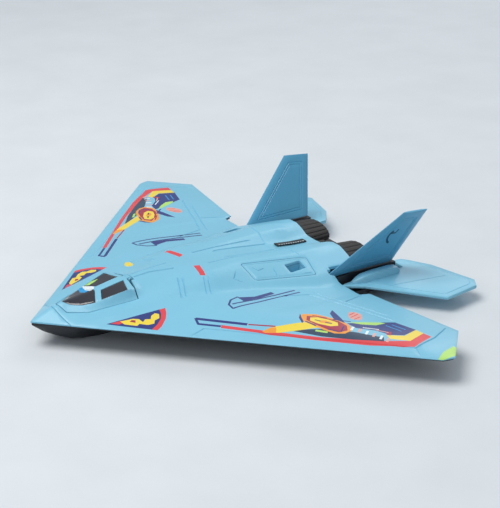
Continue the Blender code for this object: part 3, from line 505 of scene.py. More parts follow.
def shifted(outline: Sequence[Point], distance: float) -> list[Point]:
    """Return a closed outline moved inwards, or outwards if the distance is negative.

    Args:
        outline: the outline's corners.
        distance: how far to move every side.

    Returns:
        The moved corners.
    """
    points = list(outline)
    turn = sum(a[0] * b[1] - b[0] * a[1] for a, b in zip(points, points[1:] + points[:1]))
    distance = math.copysign(distance, distance * turn)
    moved = []
    for index, point in enumerate(points):
        here = Vector(point)
        before = (here - Vector(points[index - 1])).normalized()
        after = (Vector(points[(index + 1) % len(points)]) - here).normalized()
        normals = (Vector((-before.y, before.x)), Vector((-after.y, after.x)))
        middle = (normals[0] + normals[1]).normalized()
        corner = here + middle * distance / max(middle.dot(normals[0]), 0.4)
        moved.append((corner.x, corner.y))
    return moved


def divided(line: Sequence[Point], pitch: float, closed: bool) -> list[Point]:
    """Return a line with extra points, no two further apart than the pitch.

    Args:
        line: the line's corners.
        pitch: the longest step.
        closed: whether the last corner joins the first.

    Returns:
        The points along it.
    """
    ends = list(line[1:]) + ([line[0]] if closed else [])
    points: list[Point] = []
    for start, end in zip(line, ends):
        steps = max(1, math.ceil(math.dist(start, end) / pitch))
        points += [(start[0] + (end[0] - start[0]) * i / steps,
                    start[1] + (end[1] - start[1]) * i / steps) for i in range(steps)]
    return points if closed else points + [line[-1]]


def rounded(outline: Sequence[Point], radius: float, steps: int = 4) -> list[Point]:
    """Return a closed outline with its corners rounded.

    Args:
        outline: the outline's corners.
        radius: how far from each corner the rounding starts.
        steps: points in each corner.

    Returns:
        The rounded outline.
    """
    points: list[Point] = []
    for index, corner in enumerate(outline):
        here = Vector(corner)
        before, after = Vector(outline[index - 1]), Vector(outline[(index + 1) % len(outline)])
        start = here + (before - here).normalized() * radius
        end = here + (after - here).normalized() * radius
        for step in range(steps + 1):
            t = step / steps
            spot = start * (1 - t) ** 2 + here * 2 * t * (1 - t) + end * t * t
            points.append((spot.x, spot.y))
    return points


def ring(centre: Point, radius: float, sides: int = 24) -> list[Point]:
    """Return a regular outline round a centre.

    Args:
        centre: the centre.
        radius: the radius.
        sides: how many corners.

    Returns:
        The corners.
    """
    return [(centre[0] + radius * math.cos(2 * math.pi * i / sides),
             centre[1] + radius * math.sin(2 * math.pi * i / sides)) for i in range(sides)]


def stroke(path: Sequence[Point], width: float) -> list[Point]:
    """Return the outline of a line drawn with a width.

    Args:
        path: the line's corners.
        width: the line's width.

    Returns:
        A closed outline round it.
    """
    left, right = [], []
    for index, point in enumerate(path):
        before = Vector(path[max(index - 1, 0)])
        after = Vector(path[min(index + 1, len(path) - 1)])
        along = (after - before).normalized()
        side = Vector((-along.y, along.x)) * width / 2.0
        left.append(tuple(Vector(point) + side))
        right.append(tuple(Vector(point) - side))
    return left + right[::-1]


def distances(points: np.ndarray, lines: Iterable[Sequence[Point]], closed: bool) -> np.ndarray:
    """Return each point's distance from the nearest of some lines.

    Args:
        points: one point in each row.
        lines: the lines' corners.
        closed: whether the lines are closed.

    Returns:
        One distance for each point.
    """
    best = np.full(len(points), 1e9)
    for line in lines:
        ends = list(line[1:]) + ([line[0]] if closed else [])
        for start, end in zip(line, ends):
            a, b = np.array(start), np.array(end)
            span = b - a
            share = np.clip((points - a) @ span / max(span @ span, 1e-12), 0.0, 1.0)
            gap = points - (a + share[:, None] * span)
            best = np.minimum(best, np.hypot(gap[:, 0], gap[:, 1]))
    return best


@dataclass(frozen=True)
class Region:
    """A printed patch of colour on a sheet."""

    outline: tuple[Point, ...]
    finish: Finish
    side: Side = Side.BOTH


@dataclass(frozen=True)
class Groove:
    """A moulded panel line."""

    path: tuple[Point, ...]
    half_width: float = 0.5
    depth: float = 0.55


@dataclass
class Sheet:
    """A closed sheet between two heights over an outline, or over its mirror image too."""

    outline: Sequence[Point]
    top: Height
    bottom: Height
    finish: Finish
    pitch: float = 2.0
    holes: Sequence[Sequence[Point]] = ()
    lines: Sequence[Sequence[Point]] = ()
    grooves: Sequence[Groove] = ()
    under_grooves: Sequence[Groove] = ()
    regions: Sequence[Region] = ()
    mirrored: bool = False
    edge_radius: float = 0.22
    edge_under: bool = False
    finishes: list[Finish] = field(default_factory=list)

    def _rims(self) -> list[list[Point]]:
        """Return the outline and the holes.

        Returns:
            One closed line for each.
        """
        return [list(self.outline)] + [list(hole) for hole in self.holes]

    def _loops(self) -> list[tuple[list[Point], bool]]:
        """Collect every line that triangle edges have to follow.

        Returns:
            The lines and whether each is closed.
        """
        loops = [(divided(self.outline, self.pitch, True), True)]
        loops += [(divided(hole, self.pitch, True), True) for hole in self.holes]
        if self.edge_radius:
            radius = self.edge_radius
            for depth in (radius, radius * 0.3):
                loops.append((divided(shifted(self.outline, depth), self.pitch, True), True))
                loops += [(divided(shifted(hole, -depth), self.pitch, True), True)
                          for hole in self.holes]
        loops += [(divided(line, self.pitch, False), False) for line in self.lines]
        for groove in list(self.grooves) + list(self.under_grooves):
            band = stroke(groove.path, groove.half_width * 2.0)
            loops.append((divided(band, self.pitch, True), True))
            loops.append((divided(groove.path, self.pitch, False), False))
        loops += [(divided(region.outline, self.pitch, True), True) for region in self.regions]
        return loops

    def _plan(self) -> tuple[np.ndarray, list[tuple[int, int, int]]]:
        """Triangulate the plan.

        Returns:
            The corners and the triangles, turned anticlockwise.
        """
        points: list[Point] = []
        edges: list[tuple[int, int]] = []
        for loop, closed in self._loops():
            first = len(points)
            points += loop
            edges += [(first + i, first + i + 1) for i in range(len(loop) - 1)]
            if closed:
                edges.append((len(points) - 1, first))
        fixed = np.array(points)
        low, high = fixed.min(axis=0), fixed.max(axis=0)
        spots = []
        rows = int((high[1] - low[1]) / (self.pitch * ROW_PITCH)) + 2
        for row in range(rows):
            for column in range(int((high[0] - low[0]) / self.pitch) + 2):
                x = low[0] + (column + 0.5 * (row % 2)) * self.pitch
                y = low[1] + row * self.pitch * ROW_PITCH
                if inside((x, y), self.outline):
                    spots.append((x, y))
        if spots:
            grid = np.array(spots)
            clear = np.concatenate([
                np.sqrt(((part[:, None, :] - fixed[None, :, :]) ** 2).sum(axis=2)).min(axis=1)
                for part in np.array_split(grid, max(1, len(grid) // 400))])
            points += [tuple(spot) for spot in grid[clear > CLEAR_SHARE * self.pitch]]
        flat = [Vector(p) for p in points]
        corners, _, faces, _, _, _ = delaunay_2d_cdt(flat, edges, [], 0, WELD)
        plan = np.array([(c.x, c.y) for c in corners])
        on_rim = distances(plan, self._rims(), True) < ON_LINE
        kept = []
        for face in faces:
            a, b, c = (corners[i] for i in face)
            turn = (b - a).cross(c - a)
            if abs(turn) < SLIVER and all(on_rim[i] for i in face):
                continue
            middle = (a + b + c) / 3.0
            if not inside(middle, self.outline) or any(inside(middle, h) for h in self.holes):
                continue
            kept.append(tuple(face))
        total = sum((corners[b] - corners[a]).cross(corners[c] - corners[a]) for a, b, c in kept)
        return plan, kept if total > 0 else [face[::-1] for face in kept]

    def _sunk(self, plan: np.ndarray, grooves: Sequence[Groove]) -> np.ndarray:
        """Return how deep the grooves are at each corner.

        Args:
            plan: the corners.
            grooves: the grooves.

        Returns:
            One depth for each corner.
        """
        depth = np.zeros(len(plan))
        for groove in grooves:
            away = distances(plan, [groove.path], False)
            here = groove.depth * np.clip(1.0 - away / groove.half_width, 0.0, 1.0)
            depth = np.maximum(depth, here)
        return depth

    def _dropped(self, plan: np.ndarray) -> np.ndarray:
        """Return how much the rounded edge takes off each corner.

        Args:
            plan: the corners.

        Returns:
            One drop for each corner.
        """
        radius = self.edge_radius
        if not radius:
            return np.zeros(len(plan))
        sides = []
        for rim in self._rims():
            for start, end in zip(rim, rim[1:] + rim[:1]):
                if not (self.mirrored and abs(start[0]) < ON_LINE and abs(end[0]) < ON_LINE):
                    sides.append((start, end))
        away = np.clip(distances(plan, sides, False), 0.0, radius)
        return radius - np.sqrt(np.maximum(radius ** 2 - (radius - away) ** 2, 0.0))

    def _finish_of(self, middle: Point, side: int) -> int:
        """Return which finish a triangle takes.

        Args:
            middle: the triangle's middle on the port side.
            side: 1 for port and -1 for starboard.

        Returns:
            The index of the finish.
        """
        chosen = self.finish
        for region in self.regions:
            if region.side in (Side.BOTH, Side(side)) and inside(middle, region.outline):
                chosen = region.finish
        if chosen not in self.finishes:
            self.finishes.append(chosen)
        return self.finishes.index(chosen)

    def mesh(self) -> bmesh.types.BMesh:
        """Build the sheet.

        Returns:
            The closed mesh, in millimetres.
        """
        self.finishes = [self.finish]
        plan, faces = self._plan()
        sunk, raised = self._sunk(plan, self.grooves), self._sunk(plan, self.under_grooves)
        drop = self._dropped(plan)
        directed = {(f[i], f[(i + 1) % 3]) for f in faces for i in range(3)}
        rim = [(a, b) for a, b in directed if (b, a) not in directed]
        bm = bmesh.new()
        made: dict[tuple[int, int], tuple[bmesh.types.BMVert, bmesh.types.BMVert]] = {}
        heights: dict[int, tuple[float, float]] = {}
        for index in sorted({i for face in faces for i in face}):
            x, y = (float(v) for v in plan[index])
            high, low = self.top(x, y), self.bottom(x, y)
            room = (high - low) * ROOM_SHARE
            heights[index] = (high - min(max(drop[index], sunk[index]), room),
                              low + min(max(drop[index] if self.edge_under else 0.0,
                                            raised[index]), room))
        for side in (1, -1) if self.mirrored else (1,):
            for index, (high, low) in heights.items():
                x, y = (float(v) for v in plan[index])
                if self.mirrored and abs(x) < ON_LINE:
                    x = 0.0
                    if side < 0:
                        made[side, index] = made[1, index]
                        continue
                made[side, index] = (bm.verts.new((side * x, y, high)),
                                     bm.verts.new((side * x, y, low)))
            for face in faces:
                upper = [made[side, i][0] for i in face]
                lower = [made[side, i][1] for i in face]
                shown = bm.faces.new(upper if side > 0 else upper[::-1])
                bm.faces.new(lower[::-1] if side > 0 else lower)
                if self.regions:
                    middle = plan[list(face)].mean(axis=0)
                    shown.material_index = self._finish_of(tuple(middle), side)
            for a, b in rim:
                if self.mirrored and abs(plan[a][0]) < ON_LINE and abs(plan[b][0]) < ON_LINE:
                    continue
                wall = [made[side, a][1], made[side, b][1], made[side, b][0], made[side, a][0]]
                bm.faces.new(wall if side > 0 else wall[::-1])
        return bm


@dataclass(frozen=True)
class Carrier:
    """Turns meshes drawn in millimetres into pieces that ride on the frame."""

    smooth_angle: float = 32.0

    def add(self, name: str, bm: bmesh.types.BMesh, finishes: Sequence[Finish], body: Body,
            stands_for: Sequence[str] = (), turn: Matrix | None = None) -> bpy.types.Object:
        """Place a mesh and tie it to its body.

        Args:
            name: the piece's name.
            bm: the mesh in millimetres; it is freed.
            finishes: the finishes in the order of the mesh's material indices.
            body: the body that carries it.
            stands_for: the solid nodes it replaces.
            turn: a transform applied before the mesh is placed.

        Returns:
            The new object.
        """
        if turn is not None:
            bm.transform(turn)
        bmesh.ops.recalc_face_normals(bm, faces=bm.faces)
        bm.transform(Matrix.Scale(MM, 4) @ Matrix.Translation((0.0, -HALF_LENGTH, SEAM_LEVEL)))
        data = bpy.data.meshes.new(name)
        bm.to_mesh(data)
        bm.free()
        data.shade_smooth()
        data.set_sharp_from_angle(angle=math.radians(self.smooth_angle))
        for finish in finishes:
            data.materials.append(finish.material())
        made = bpy.data.objects.new(name, data)
        bpy.context.collection.objects.link(made)
        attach(made, body.value)
        if stands_for:
            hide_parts(*stands_for)
        return made

    def sheet(self, name: str, sheet: Sheet, body: Body, stands_for: Sequence[str] = (),
              turn: Matrix | None = None) -> bpy.types.Object:
        """Build a sheet and place it.

        Args:
            name: the piece's name.
            sheet: the sheet.
            body: the body that carries it.
            stands_for: the solid nodes it replaces.
            turn: a transform applied before the mesh is placed.

        Returns:
            The new object.
        """
        bm = sheet.mesh()
        return self.add(name, bm, sheet.finishes, body, stands_for, turn)

    def loft(self, loops: Sequence[Sequence[Sequence[float]]]) -> bmesh.types.BMesh:
        """Join rings of equal length into one closed body.

        Args:
            loops: the rings, each a list of points in space.

        Returns:
            The mesh, in millimetres.
        """
        bm = bmesh.new()
        rings = [[bm.verts.new(p) for p in loop] for loop in loops]
        for low, high in zip(rings, rings[1:]):
            for i in range(len(low)):
                j = (i + 1) % len(low)
                bm.faces.new((low[i], low[j], high[j], high[i]))
        bm.faces.new(rings[0][::-1])
        bm.faces.new(rings[-1])
        return bm


CARRIER = Carrier()


@dataclass(frozen=True)
class Markings:
    """The printed shapes on the wings and the body; every one is a plain generic shape."""

    red_outer: tuple[Point, ...] = ((61.5, 77.4), (63.4, 75.9), (100.0, 108.2), (120.0, 127.6),
                                    (133.8, 144.6), (129.8, 158.8), (124.6, 157.8), (128.3, 146.4),
                                    (121.0, 135.2), (100.0, 112.0), (80.0, 93.6))
    slate_front: tuple[Point, ...] = ((86.8, 103.2), (99.6, 112.6), (111.0, 123.6), (121.4, 135.2),
                                      (118.6, 137.2), (106.0, 128.0), (97.0, 119.2), (91.4, 111.4))
    yellow_band: tuple[Point, ...] = ((79.4, 91.6), (84.2, 97.0), (88.6, 106.0), (93.4, 117.0),
                                      (87.6, 117.6), (83.8, 110.6), (79.2, 99.0), (78.4, 95.4))
    orange_tip: tuple[Point, ...] = ((78.2, 91.0), (80.2, 91.6), (83.4, 96.0), (80.0, 98.6),
                                     (78.2, 96.4))
    orange_rim: tuple[Point, ...] = ((76.6, 117.2), (78.8, 113.8), (83.6, 112.6), (89.0, 114.4),
                                     (96.0, 116.6), (101.6, 119.2), (104.8, 123.4), (104.4, 127.8),
                                     (100.0, 130.2), (94.0, 130.4), (87.6, 127.4), (80.2, 123.4))
    red_oval: tuple[Point, ...] = ((79.6, 117.8), (83.4, 114.8), (90.0, 116.2), (97.0, 118.4),
                                   (102.2, 121.6), (103.2, 126.2), (99.0, 128.8), (92.6, 128.4),
                                   (85.6, 124.4))
    yellow_disc: tuple[Point, ...] = ((82.0, 118.2), (84.8, 116.0), (89.6, 117.6), (95.2, 121.4),
                                      (96.8, 125.0), (93.8, 127.0), (88.6, 125.0), (83.6, 121.6))
    orange_core: tuple[Point, ...] = ((86.6, 119.6), (89.4, 119.4), (92.6, 122.2), (92.4, 124.6),
                                      (89.0, 123.2))
    navy_rear: tuple[Point, ...] = ((96.8, 130.6), (103.4, 131.4), (110.4, 138.2), (118.0, 141.6),
                                    (122.0, 147.4), (119.4, 157.4), (106.8, 153.6), (103.6, 146.6),
                                    (99.0, 137.6))
    lime_streak: tuple[Point, ...] = ((96.2, 132.0), (101.4, 136.6), (105.6, 142.6), (105.8, 148.4),
                                      (103.4, 146.4), (99.2, 138.6))
    yellow_tip: tuple[Point, ...] = ((117.4, 139.8), (121.4, 139.2), (128.3, 146.4),
                                     (124.6, 157.8), (119.4, 157.2), (122.4, 147.4))
    navy_feather: tuple[Point, ...] = ((79.2, 134.2), (82.6, 130.2), (89.4, 127.8), (96.0, 130.0),
                                       (91.0, 131.6), (84.8, 133.0))
    navy_plume: tuple[Point, ...] = ((75.6, 116.4), (79.6, 112.8), (84.6, 111.2), (84.2, 112.6),
                                     (79.8, 114.2))
    pink_pill: tuple[Point, ...] = ((85.2, 140.6), (88.6, 137.4), (92.6, 135.6), (96.6, 138.2),
                                    (95.6, 141.2), (91.0, 144.4), (87.0, 143.6))
    diamond: tuple[Point, ...] = ((114.2, 142.4), (117.2, 140.0), (118.8, 141.8), (115.6, 144.4))
    pink_line: tuple[Point, ...] = ((69.4, 88.6), (79.0, 98.8))
    strip_inner: tuple[Point, ...] = ((49.2, 69.8), (69.0, 88.2))
    strip_outer: tuple[Point, ...] = ((53.6, 68.4), (62.2, 76.6))
    strip_cap: tuple[Point, ...] = ((48.6, 69.8), (54.0, 68.3))
    tip_patch: tuple[Point, ...] = ((148.6, 147.0), (150.4, 149.6), (150.4, 156.8), (144.4, 162.8),
                                    (142.0, 162.6), (144.8, 153.8))
    nose_navy: tuple[Point, ...] = ((25.4, 30.6), (31.0, 35.6), (45.6, 49.2), (44.0, 52.6),
                                    (40.0, 57.2), (36.0, 60.0), (31.8, 61.8), (28.6, 47.0))
    nose_red: tuple[Point, ...] = ((43.2, 47.2), (45.6, 49.2), (44.0, 52.6), (40.0, 57.2),
                                   (36.0, 60.0), (31.8, 61.8), (31.2, 58.6), (34.8, 57.6),
                                   (38.4, 55.2), (41.4, 51.4))
    nose_tip: tuple[Point, ...] = ((26.2, 32.6), (29.6, 35.8), (29.6, 38.6), (27.4, 38.2))
    nose_flame: tuple[Point, ...] = ((27.6, 37.4), (31.2, 38.0), (36.2, 42.6), (35.4, 44.4),
                                     (38.8, 47.4), (39.8, 50.6), (37.6, 52.2), (37.4, 55.0),
                                     (34.4, 56.6), (32.4, 55.2), (33.2, 52.6), (35.4, 51.0),
                                     (33.8, 48.6), (35.2, 46.6), (31.8, 46.2), (29.6, 43.6))
    nose_curl: tuple[Point, ...] = ((30.8, 41.2), (33.4, 43.2), (31.6, 44.2), (30.2, 42.8))
    probe_line: tuple[Point, ...] = ((53.2, 89.8), (53.0, 105.0), (51.6, 120.0), (50.6, 134.0))
    probe_inner: tuple[Point, ...] = ((49.0, 92.0), (49.4, 106.0), (48.6, 120.0), (47.2, 133.0))
    probe_cap: tuple[Point, ...] = ((42.4, 99.6), (44.2, 94.2), (48.6, 90.2), (53.4, 89.8))
    probe_foot: tuple[Point, ...] = ((42.0, 99.6), (49.2, 99.8))
    probe_body: tuple[Point, ...] = ((43.0, 99.6), (48.8, 100.0), (48.6, 110.0), (46.8, 120.2),
                                     (44.0, 119.8), (45.8, 108.0))
    red_bar: tuple[Point, ...] = ((7.2, 94.0), (18.8, 91.2), (20.4, 93.6), (8.6, 97.0))
    drop: tuple[Point, ...] = ((18.2, 69.6), (21.4, 68.6), (25.6, 69.4), (28.8, 71.8),
                               (27.2, 73.8), (22.4, 73.0), (19.0, 71.4))
    bar_starts: tuple[Point, ...] = ((101.6, 131.0), (105.2, 133.0), (109.0, 134.6), (112.8, 136.2),
                                     (116.6, 137.8), (120.4, 139.0))
    bar_run: Point = (2.2, -3.0)
    bar_width: float = 1.3

    def accents(self, p: Palette) -> list[tuple[Point, Point, float, Finish]]:
        """Return the short strokes that break up the large patches.

        Args:
            p: the palette.

        Returns:
            Start, end, width and finish of every stroke.
        """
        return [
            ((89.4, 127.0), (96.0, 133.6), 0.9, p.navy),
            ((91.6, 136.8), (89.6, 143.0), 0.7, p.red),
            ((88.8, 138.0), (87.2, 142.6), 0.7, p.red),
            ((94.4, 137.0), (93.0, 142.0), 0.7, p.red),
            ((98.6, 127.2), (102.4, 122.6), 0.8, p.navy),
            ((84.2, 113.6), (90.6, 115.6), 0.9, p.navy),
            ((96.6, 118.6), (101.4, 121.6), 0.8, p.navy),
            ((80.4, 120.6), (86.6, 125.4), 0.8, p.dark_red),
            ((93.8, 113.0), (98.8, 117.0), 1.4, p.lime),
            ((104.6, 134.6), (110.4, 140.6), 0.7, p.white),
            ((110.0, 138.8), (115.6, 142.6), 0.7, p.pink),
            ((108.0, 146.8), (117.4, 149.4), 0.6, p.sky),
            ((108.6, 150.2), (116.8, 152.6), 0.6, p.sky),
            ((85.4, 118.6), (88.0, 120.2), 0.8, p.slate),
            ((90.4, 121.6), (93.4, 123.6), 0.8, p.slate),
            ((29.4, 47.8), (31.6, 56.0), 0.8, p.dark_red),
            ((36.6, 49.6), (38.0, 50.6), 0.9, p.orange),
            ((29.2, 39.2), (32.4, 41.0), 0.8, p.orange),
        ]

    def regions(self) -> list[Region]:
        """Return every printed patch on the upper shell, the lowest first.

        Returns:
            The patches.
        """
        p = PALETTE
        made = [Region(self.red_outer, p.red), Region(self.slate_front, p.slate),
                Region(self.navy_rear, p.navy), Region(self.lime_streak, p.lime),
                Region(self.yellow_tip, p.yellow), Region(self.yellow_band, p.yellow),
                Region(self.orange_tip, p.orange), Region(self.orange_rim, p.orange),
                Region(self.red_oval, p.dark_red), Region(self.yellow_disc, p.yellow),
                Region(self.orange_core, p.orange), Region(self.navy_feather, p.navy),
                Region(self.navy_plume, p.navy), Region(self.pink_pill, p.pink),
                Region(self.diamond, p.dark_red), Region(self.tip_patch, p.lime, Side.PORT)]
        dx, dy = self.bar_run
        made += [Region(tuple(stroke((start, (start[0] + dx, start[1] + dy)), self.bar_width)),
                        finish)
                 for start, finish in zip(self.bar_starts, (p.white, p.pink) * 3)]
        made += [Region(tuple(stroke((start, end), width)), finish)
                 for start, end, width, finish in self.accents(p)]
        made += [Region(tuple(stroke(path, width)), finish) for path, width, finish in (
            (self.pink_line, 1.0, p.dark_red), (self.strip_inner, 1.9, p.navy),
            (self.strip_outer, 1.5, p.navy), (self.strip_cap, 1.3, p.navy),
            (self.probe_line, 1.1, p.navy), (self.probe_inner, 1.2, p.navy),
            (self.probe_cap, 1.1, p.navy), (self.probe_foot, 0.9, p.navy))]
        made += [Region(self.probe_body, p.navy), Region(self.nose_navy, p.navy),
                 Region(self.nose_red, p.red), Region(self.nose_tip, p.red),
                 Region(self.nose_flame, p.yellow), Region(self.nose_curl, p.dark_red),
                 Region(self.red_bar, p.red), Region(self.drop, p.yellow, Side.STARBOARD)]
        return made


@dataclass(frozen=True)
class UpperShell:
    """The blue upper shell, its nose cap and its dorsal panels."""

    nose_cut_y: float = 12.6
    nose_cut_slope: float = 0.17
    dorsal: tuple[Point, ...] = ((19.0, 116.8), (32.0, 118.0), (41.6, 151.2), (27.6, 154.2))
    socket_x: Point = (28.4, 34.8)
    socket_y: Point = (139.2, 149.2)
    socket_wall: float = 1.0
    socket_depth: float = 5.6
    panel_corner: float = 1.6
    markings: Markings = Markings()
    panel_lines: tuple[tuple[Point, ...], ...] = (
        ((59.8, 60.6), (58.4, 68.6), (134.8, 144.6), (142.6, 142.0)),
        ((134.8, 144.6), (131.2, 159.8), (124.4, 172.6)),
        ((50.8, 120.2), (55.4, 136.6), (59.2, 138.4), (103.6, 153.9)),
        ((53.8, 140.6), (60.0, 142.6), (96.0, 155.4)),
        ((72.6, 148.0), (68.6, 162.4)),
        ((2.0, 60.6), (2.2, 70.0), (4.2, 83.0)),
        ((14.6, 79.8), (19.8, 77.6), (27.8, 74.2)),
        ((15.6, 82.2), (20.8, 80.0), (28.8, 76.4)),
        ((21.7, 91.8), (31.4, 87.6)),
        ((22.4, 94.0), (32.2, 89.8)),
        ((5.6, 116.0), (5.4, 132.0), (4.8, 148.0)),
        ((24.6, 151.6), (15.4, 151.0), (8.4, 149.6), (5.4, 149.4)),
        ((25.0, 109.6), (27.4, 107.2), (29.6, 109.0)),
        ((8.6, 104.0), (8.8, 120.0), (9.6, 140.0)),
    )
    panel_marks: tuple[tuple[Point, ...], ...] = (
        ((24.4, 121.6), (26.8, 123.2), (26.4, 126.4)),
        ((29.2, 131.7), (35.4, 130.5)),
        ((38.2, 146.2), (39.0, 149.2)),
    )

    def nose_cut(self, x: float) -> float:
        """Return the station where the nose cap meets the shell.

        Args:
            x: distance from the centre line.

        Returns:
            The station.
        """
        return self.nose_cut_y + self.nose_cut_slope * x

    def leading_corner(self, offset: float) -> Point:
        """Return the point on the leading edge that the nose cut meets.

        Args:
            offset: how far the cut is moved back.

        Returns:
            The corner.
        """
        x = (self.nose_cut_y + offset) / (FORM.leading_slope - self.nose_cut_slope)
        return (x, x * FORM.leading_slope)

    def outline(self, canopy: "Canopy", fins: "Fins") -> list[Point]:
        """Return half of the shell's outline, open under the canopy.

        Args:
            canopy: the canopy it leaves room for.
            fins: the fins it is slotted for.

        Returns:
            The corners.
        """
        opening = canopy.edge(canopy.gap)
        points = [(0.0, self.nose_cut(0.0) + GAP)] + opening
        points += [(canopy.hinge_half, opening[-1][1] + 3.0), (canopy.hinge_half, canopy.notch_y),
                   (0.0, canopy.notch_y), (0.0, FORM.nacelle_end_y),
                   (FORM.nacelle_edge_x, FORM.nacelle_end_y), (FORM.nacelle_edge_x, FORM.notch[1])]
        points += fins.slot
        front, rear, trailing = FORM.tip_corners()
        return points + [FORM.notch, FORM.trailing_root, trailing, rear, front,
                         self.leading_corner(GAP)]

    def build(self, canopy: "Canopy", fins: "Fins") -> None:
        """Build the shell, the nose cap, the dorsal panels and their cups.

        Args:
            canopy: the canopy the shell is open under.
            fins: the fins the shell is slotted for.
        """
        grooves = [Groove(path) for path in self.panel_lines]
        lines = FORM.body_lines(62.0, FORM.nacelle_end_y - 1.0)
        hull = CARRIER.sheet("upper_shell", Sheet(
            self.outline(canopy, fins), FORM.top, FORM.floor, PALETTE.hull, 2.1,
            holes=[shifted(rounded(self.dorsal, self.panel_corner), -GAP)], lines=lines,
            grooves=grooves, regions=self.markings.regions(), mirrored=True),
            Body.AIRFRAME, ["upper_hull"])
        log.info("upper shell: %d faces", len(hull.data.polygons))
        CARRIER.sheet("nose_cap", Sheet(
            [(0.0, 0.0), self.leading_corner(0.0), (0.0, self.nose_cut(0.0))], FORM.top,
            FORM.floor, PALETTE.hull, 1.2, mirrored=True), Body.AIRFRAME, ["nose_cap"])
        hole = [(self.socket_x[0], self.socket_y[0]), (self.socket_x[1], self.socket_y[0]),
                (self.socket_x[1], self.socket_y[1]), (self.socket_x[0], self.socket_y[1])]
        inset = shifted(self.dorsal, 1.1)
        for side, label in ((1, "left"), (-1, "right")):
            turn = Matrix.Scale(side, 4, (1.0, 0.0, 0.0))
            CARRIER.sheet(f"{label}_dorsal_panel", Sheet(
                rounded(self.dorsal, self.panel_corner), FORM.top, FORM.floor, PALETTE.hull, 1.3,
                holes=[rounded(hole, 0.7)],
                grooves=[Groove(path, 0.3, 0.4) for path in self.panel_marks]
                + [Groove(tuple(inset) + (inset[0],), 0.25, 0.18)]),
                Body.AIRFRAME, [f"{label}_dorsal_panel"], turn)
            self._cup(side, label)

    def _cup(self, side: int, label: str) -> None:
        """Build the socket cup under one dorsal panel.

        Args:
            side: 1 for port and -1 for starboard.
            label: the side's name.
        """
        wall = self.socket_wall
        xs = (self.socket_x[0] - wall, self.socket_x[1] + wall)
        ys = (self.socket_y[0] - wall, self.socket_y[1] + wall)
        floor = FORM.top(self.socket_x[1], self.socket_y[1]) - self.socket_depth
        loops = []
        for inset, level in ((0.0, floor - wall), (0.0, None), (wall, None), (1.2, floor)):
            corners = [(xs[0] + inset, ys[0] + inset), (xs[1] - inset, ys[0] + inset),
                       (xs[1] - inset, ys[1] - inset), (xs[0] + inset, ys[1] - inset)]
            loops.append([(side * x, y, FORM.top(x, y) - FORM.upper_wall - GAP
                           if level is None else level) for x, y in corners])
        CARRIER.add(f"{label}_socket_cup", CARRIER.loft(loops), [PALETTE.hull],
                    Body.AIRFRAME, [f"{label}_socket_cup"])


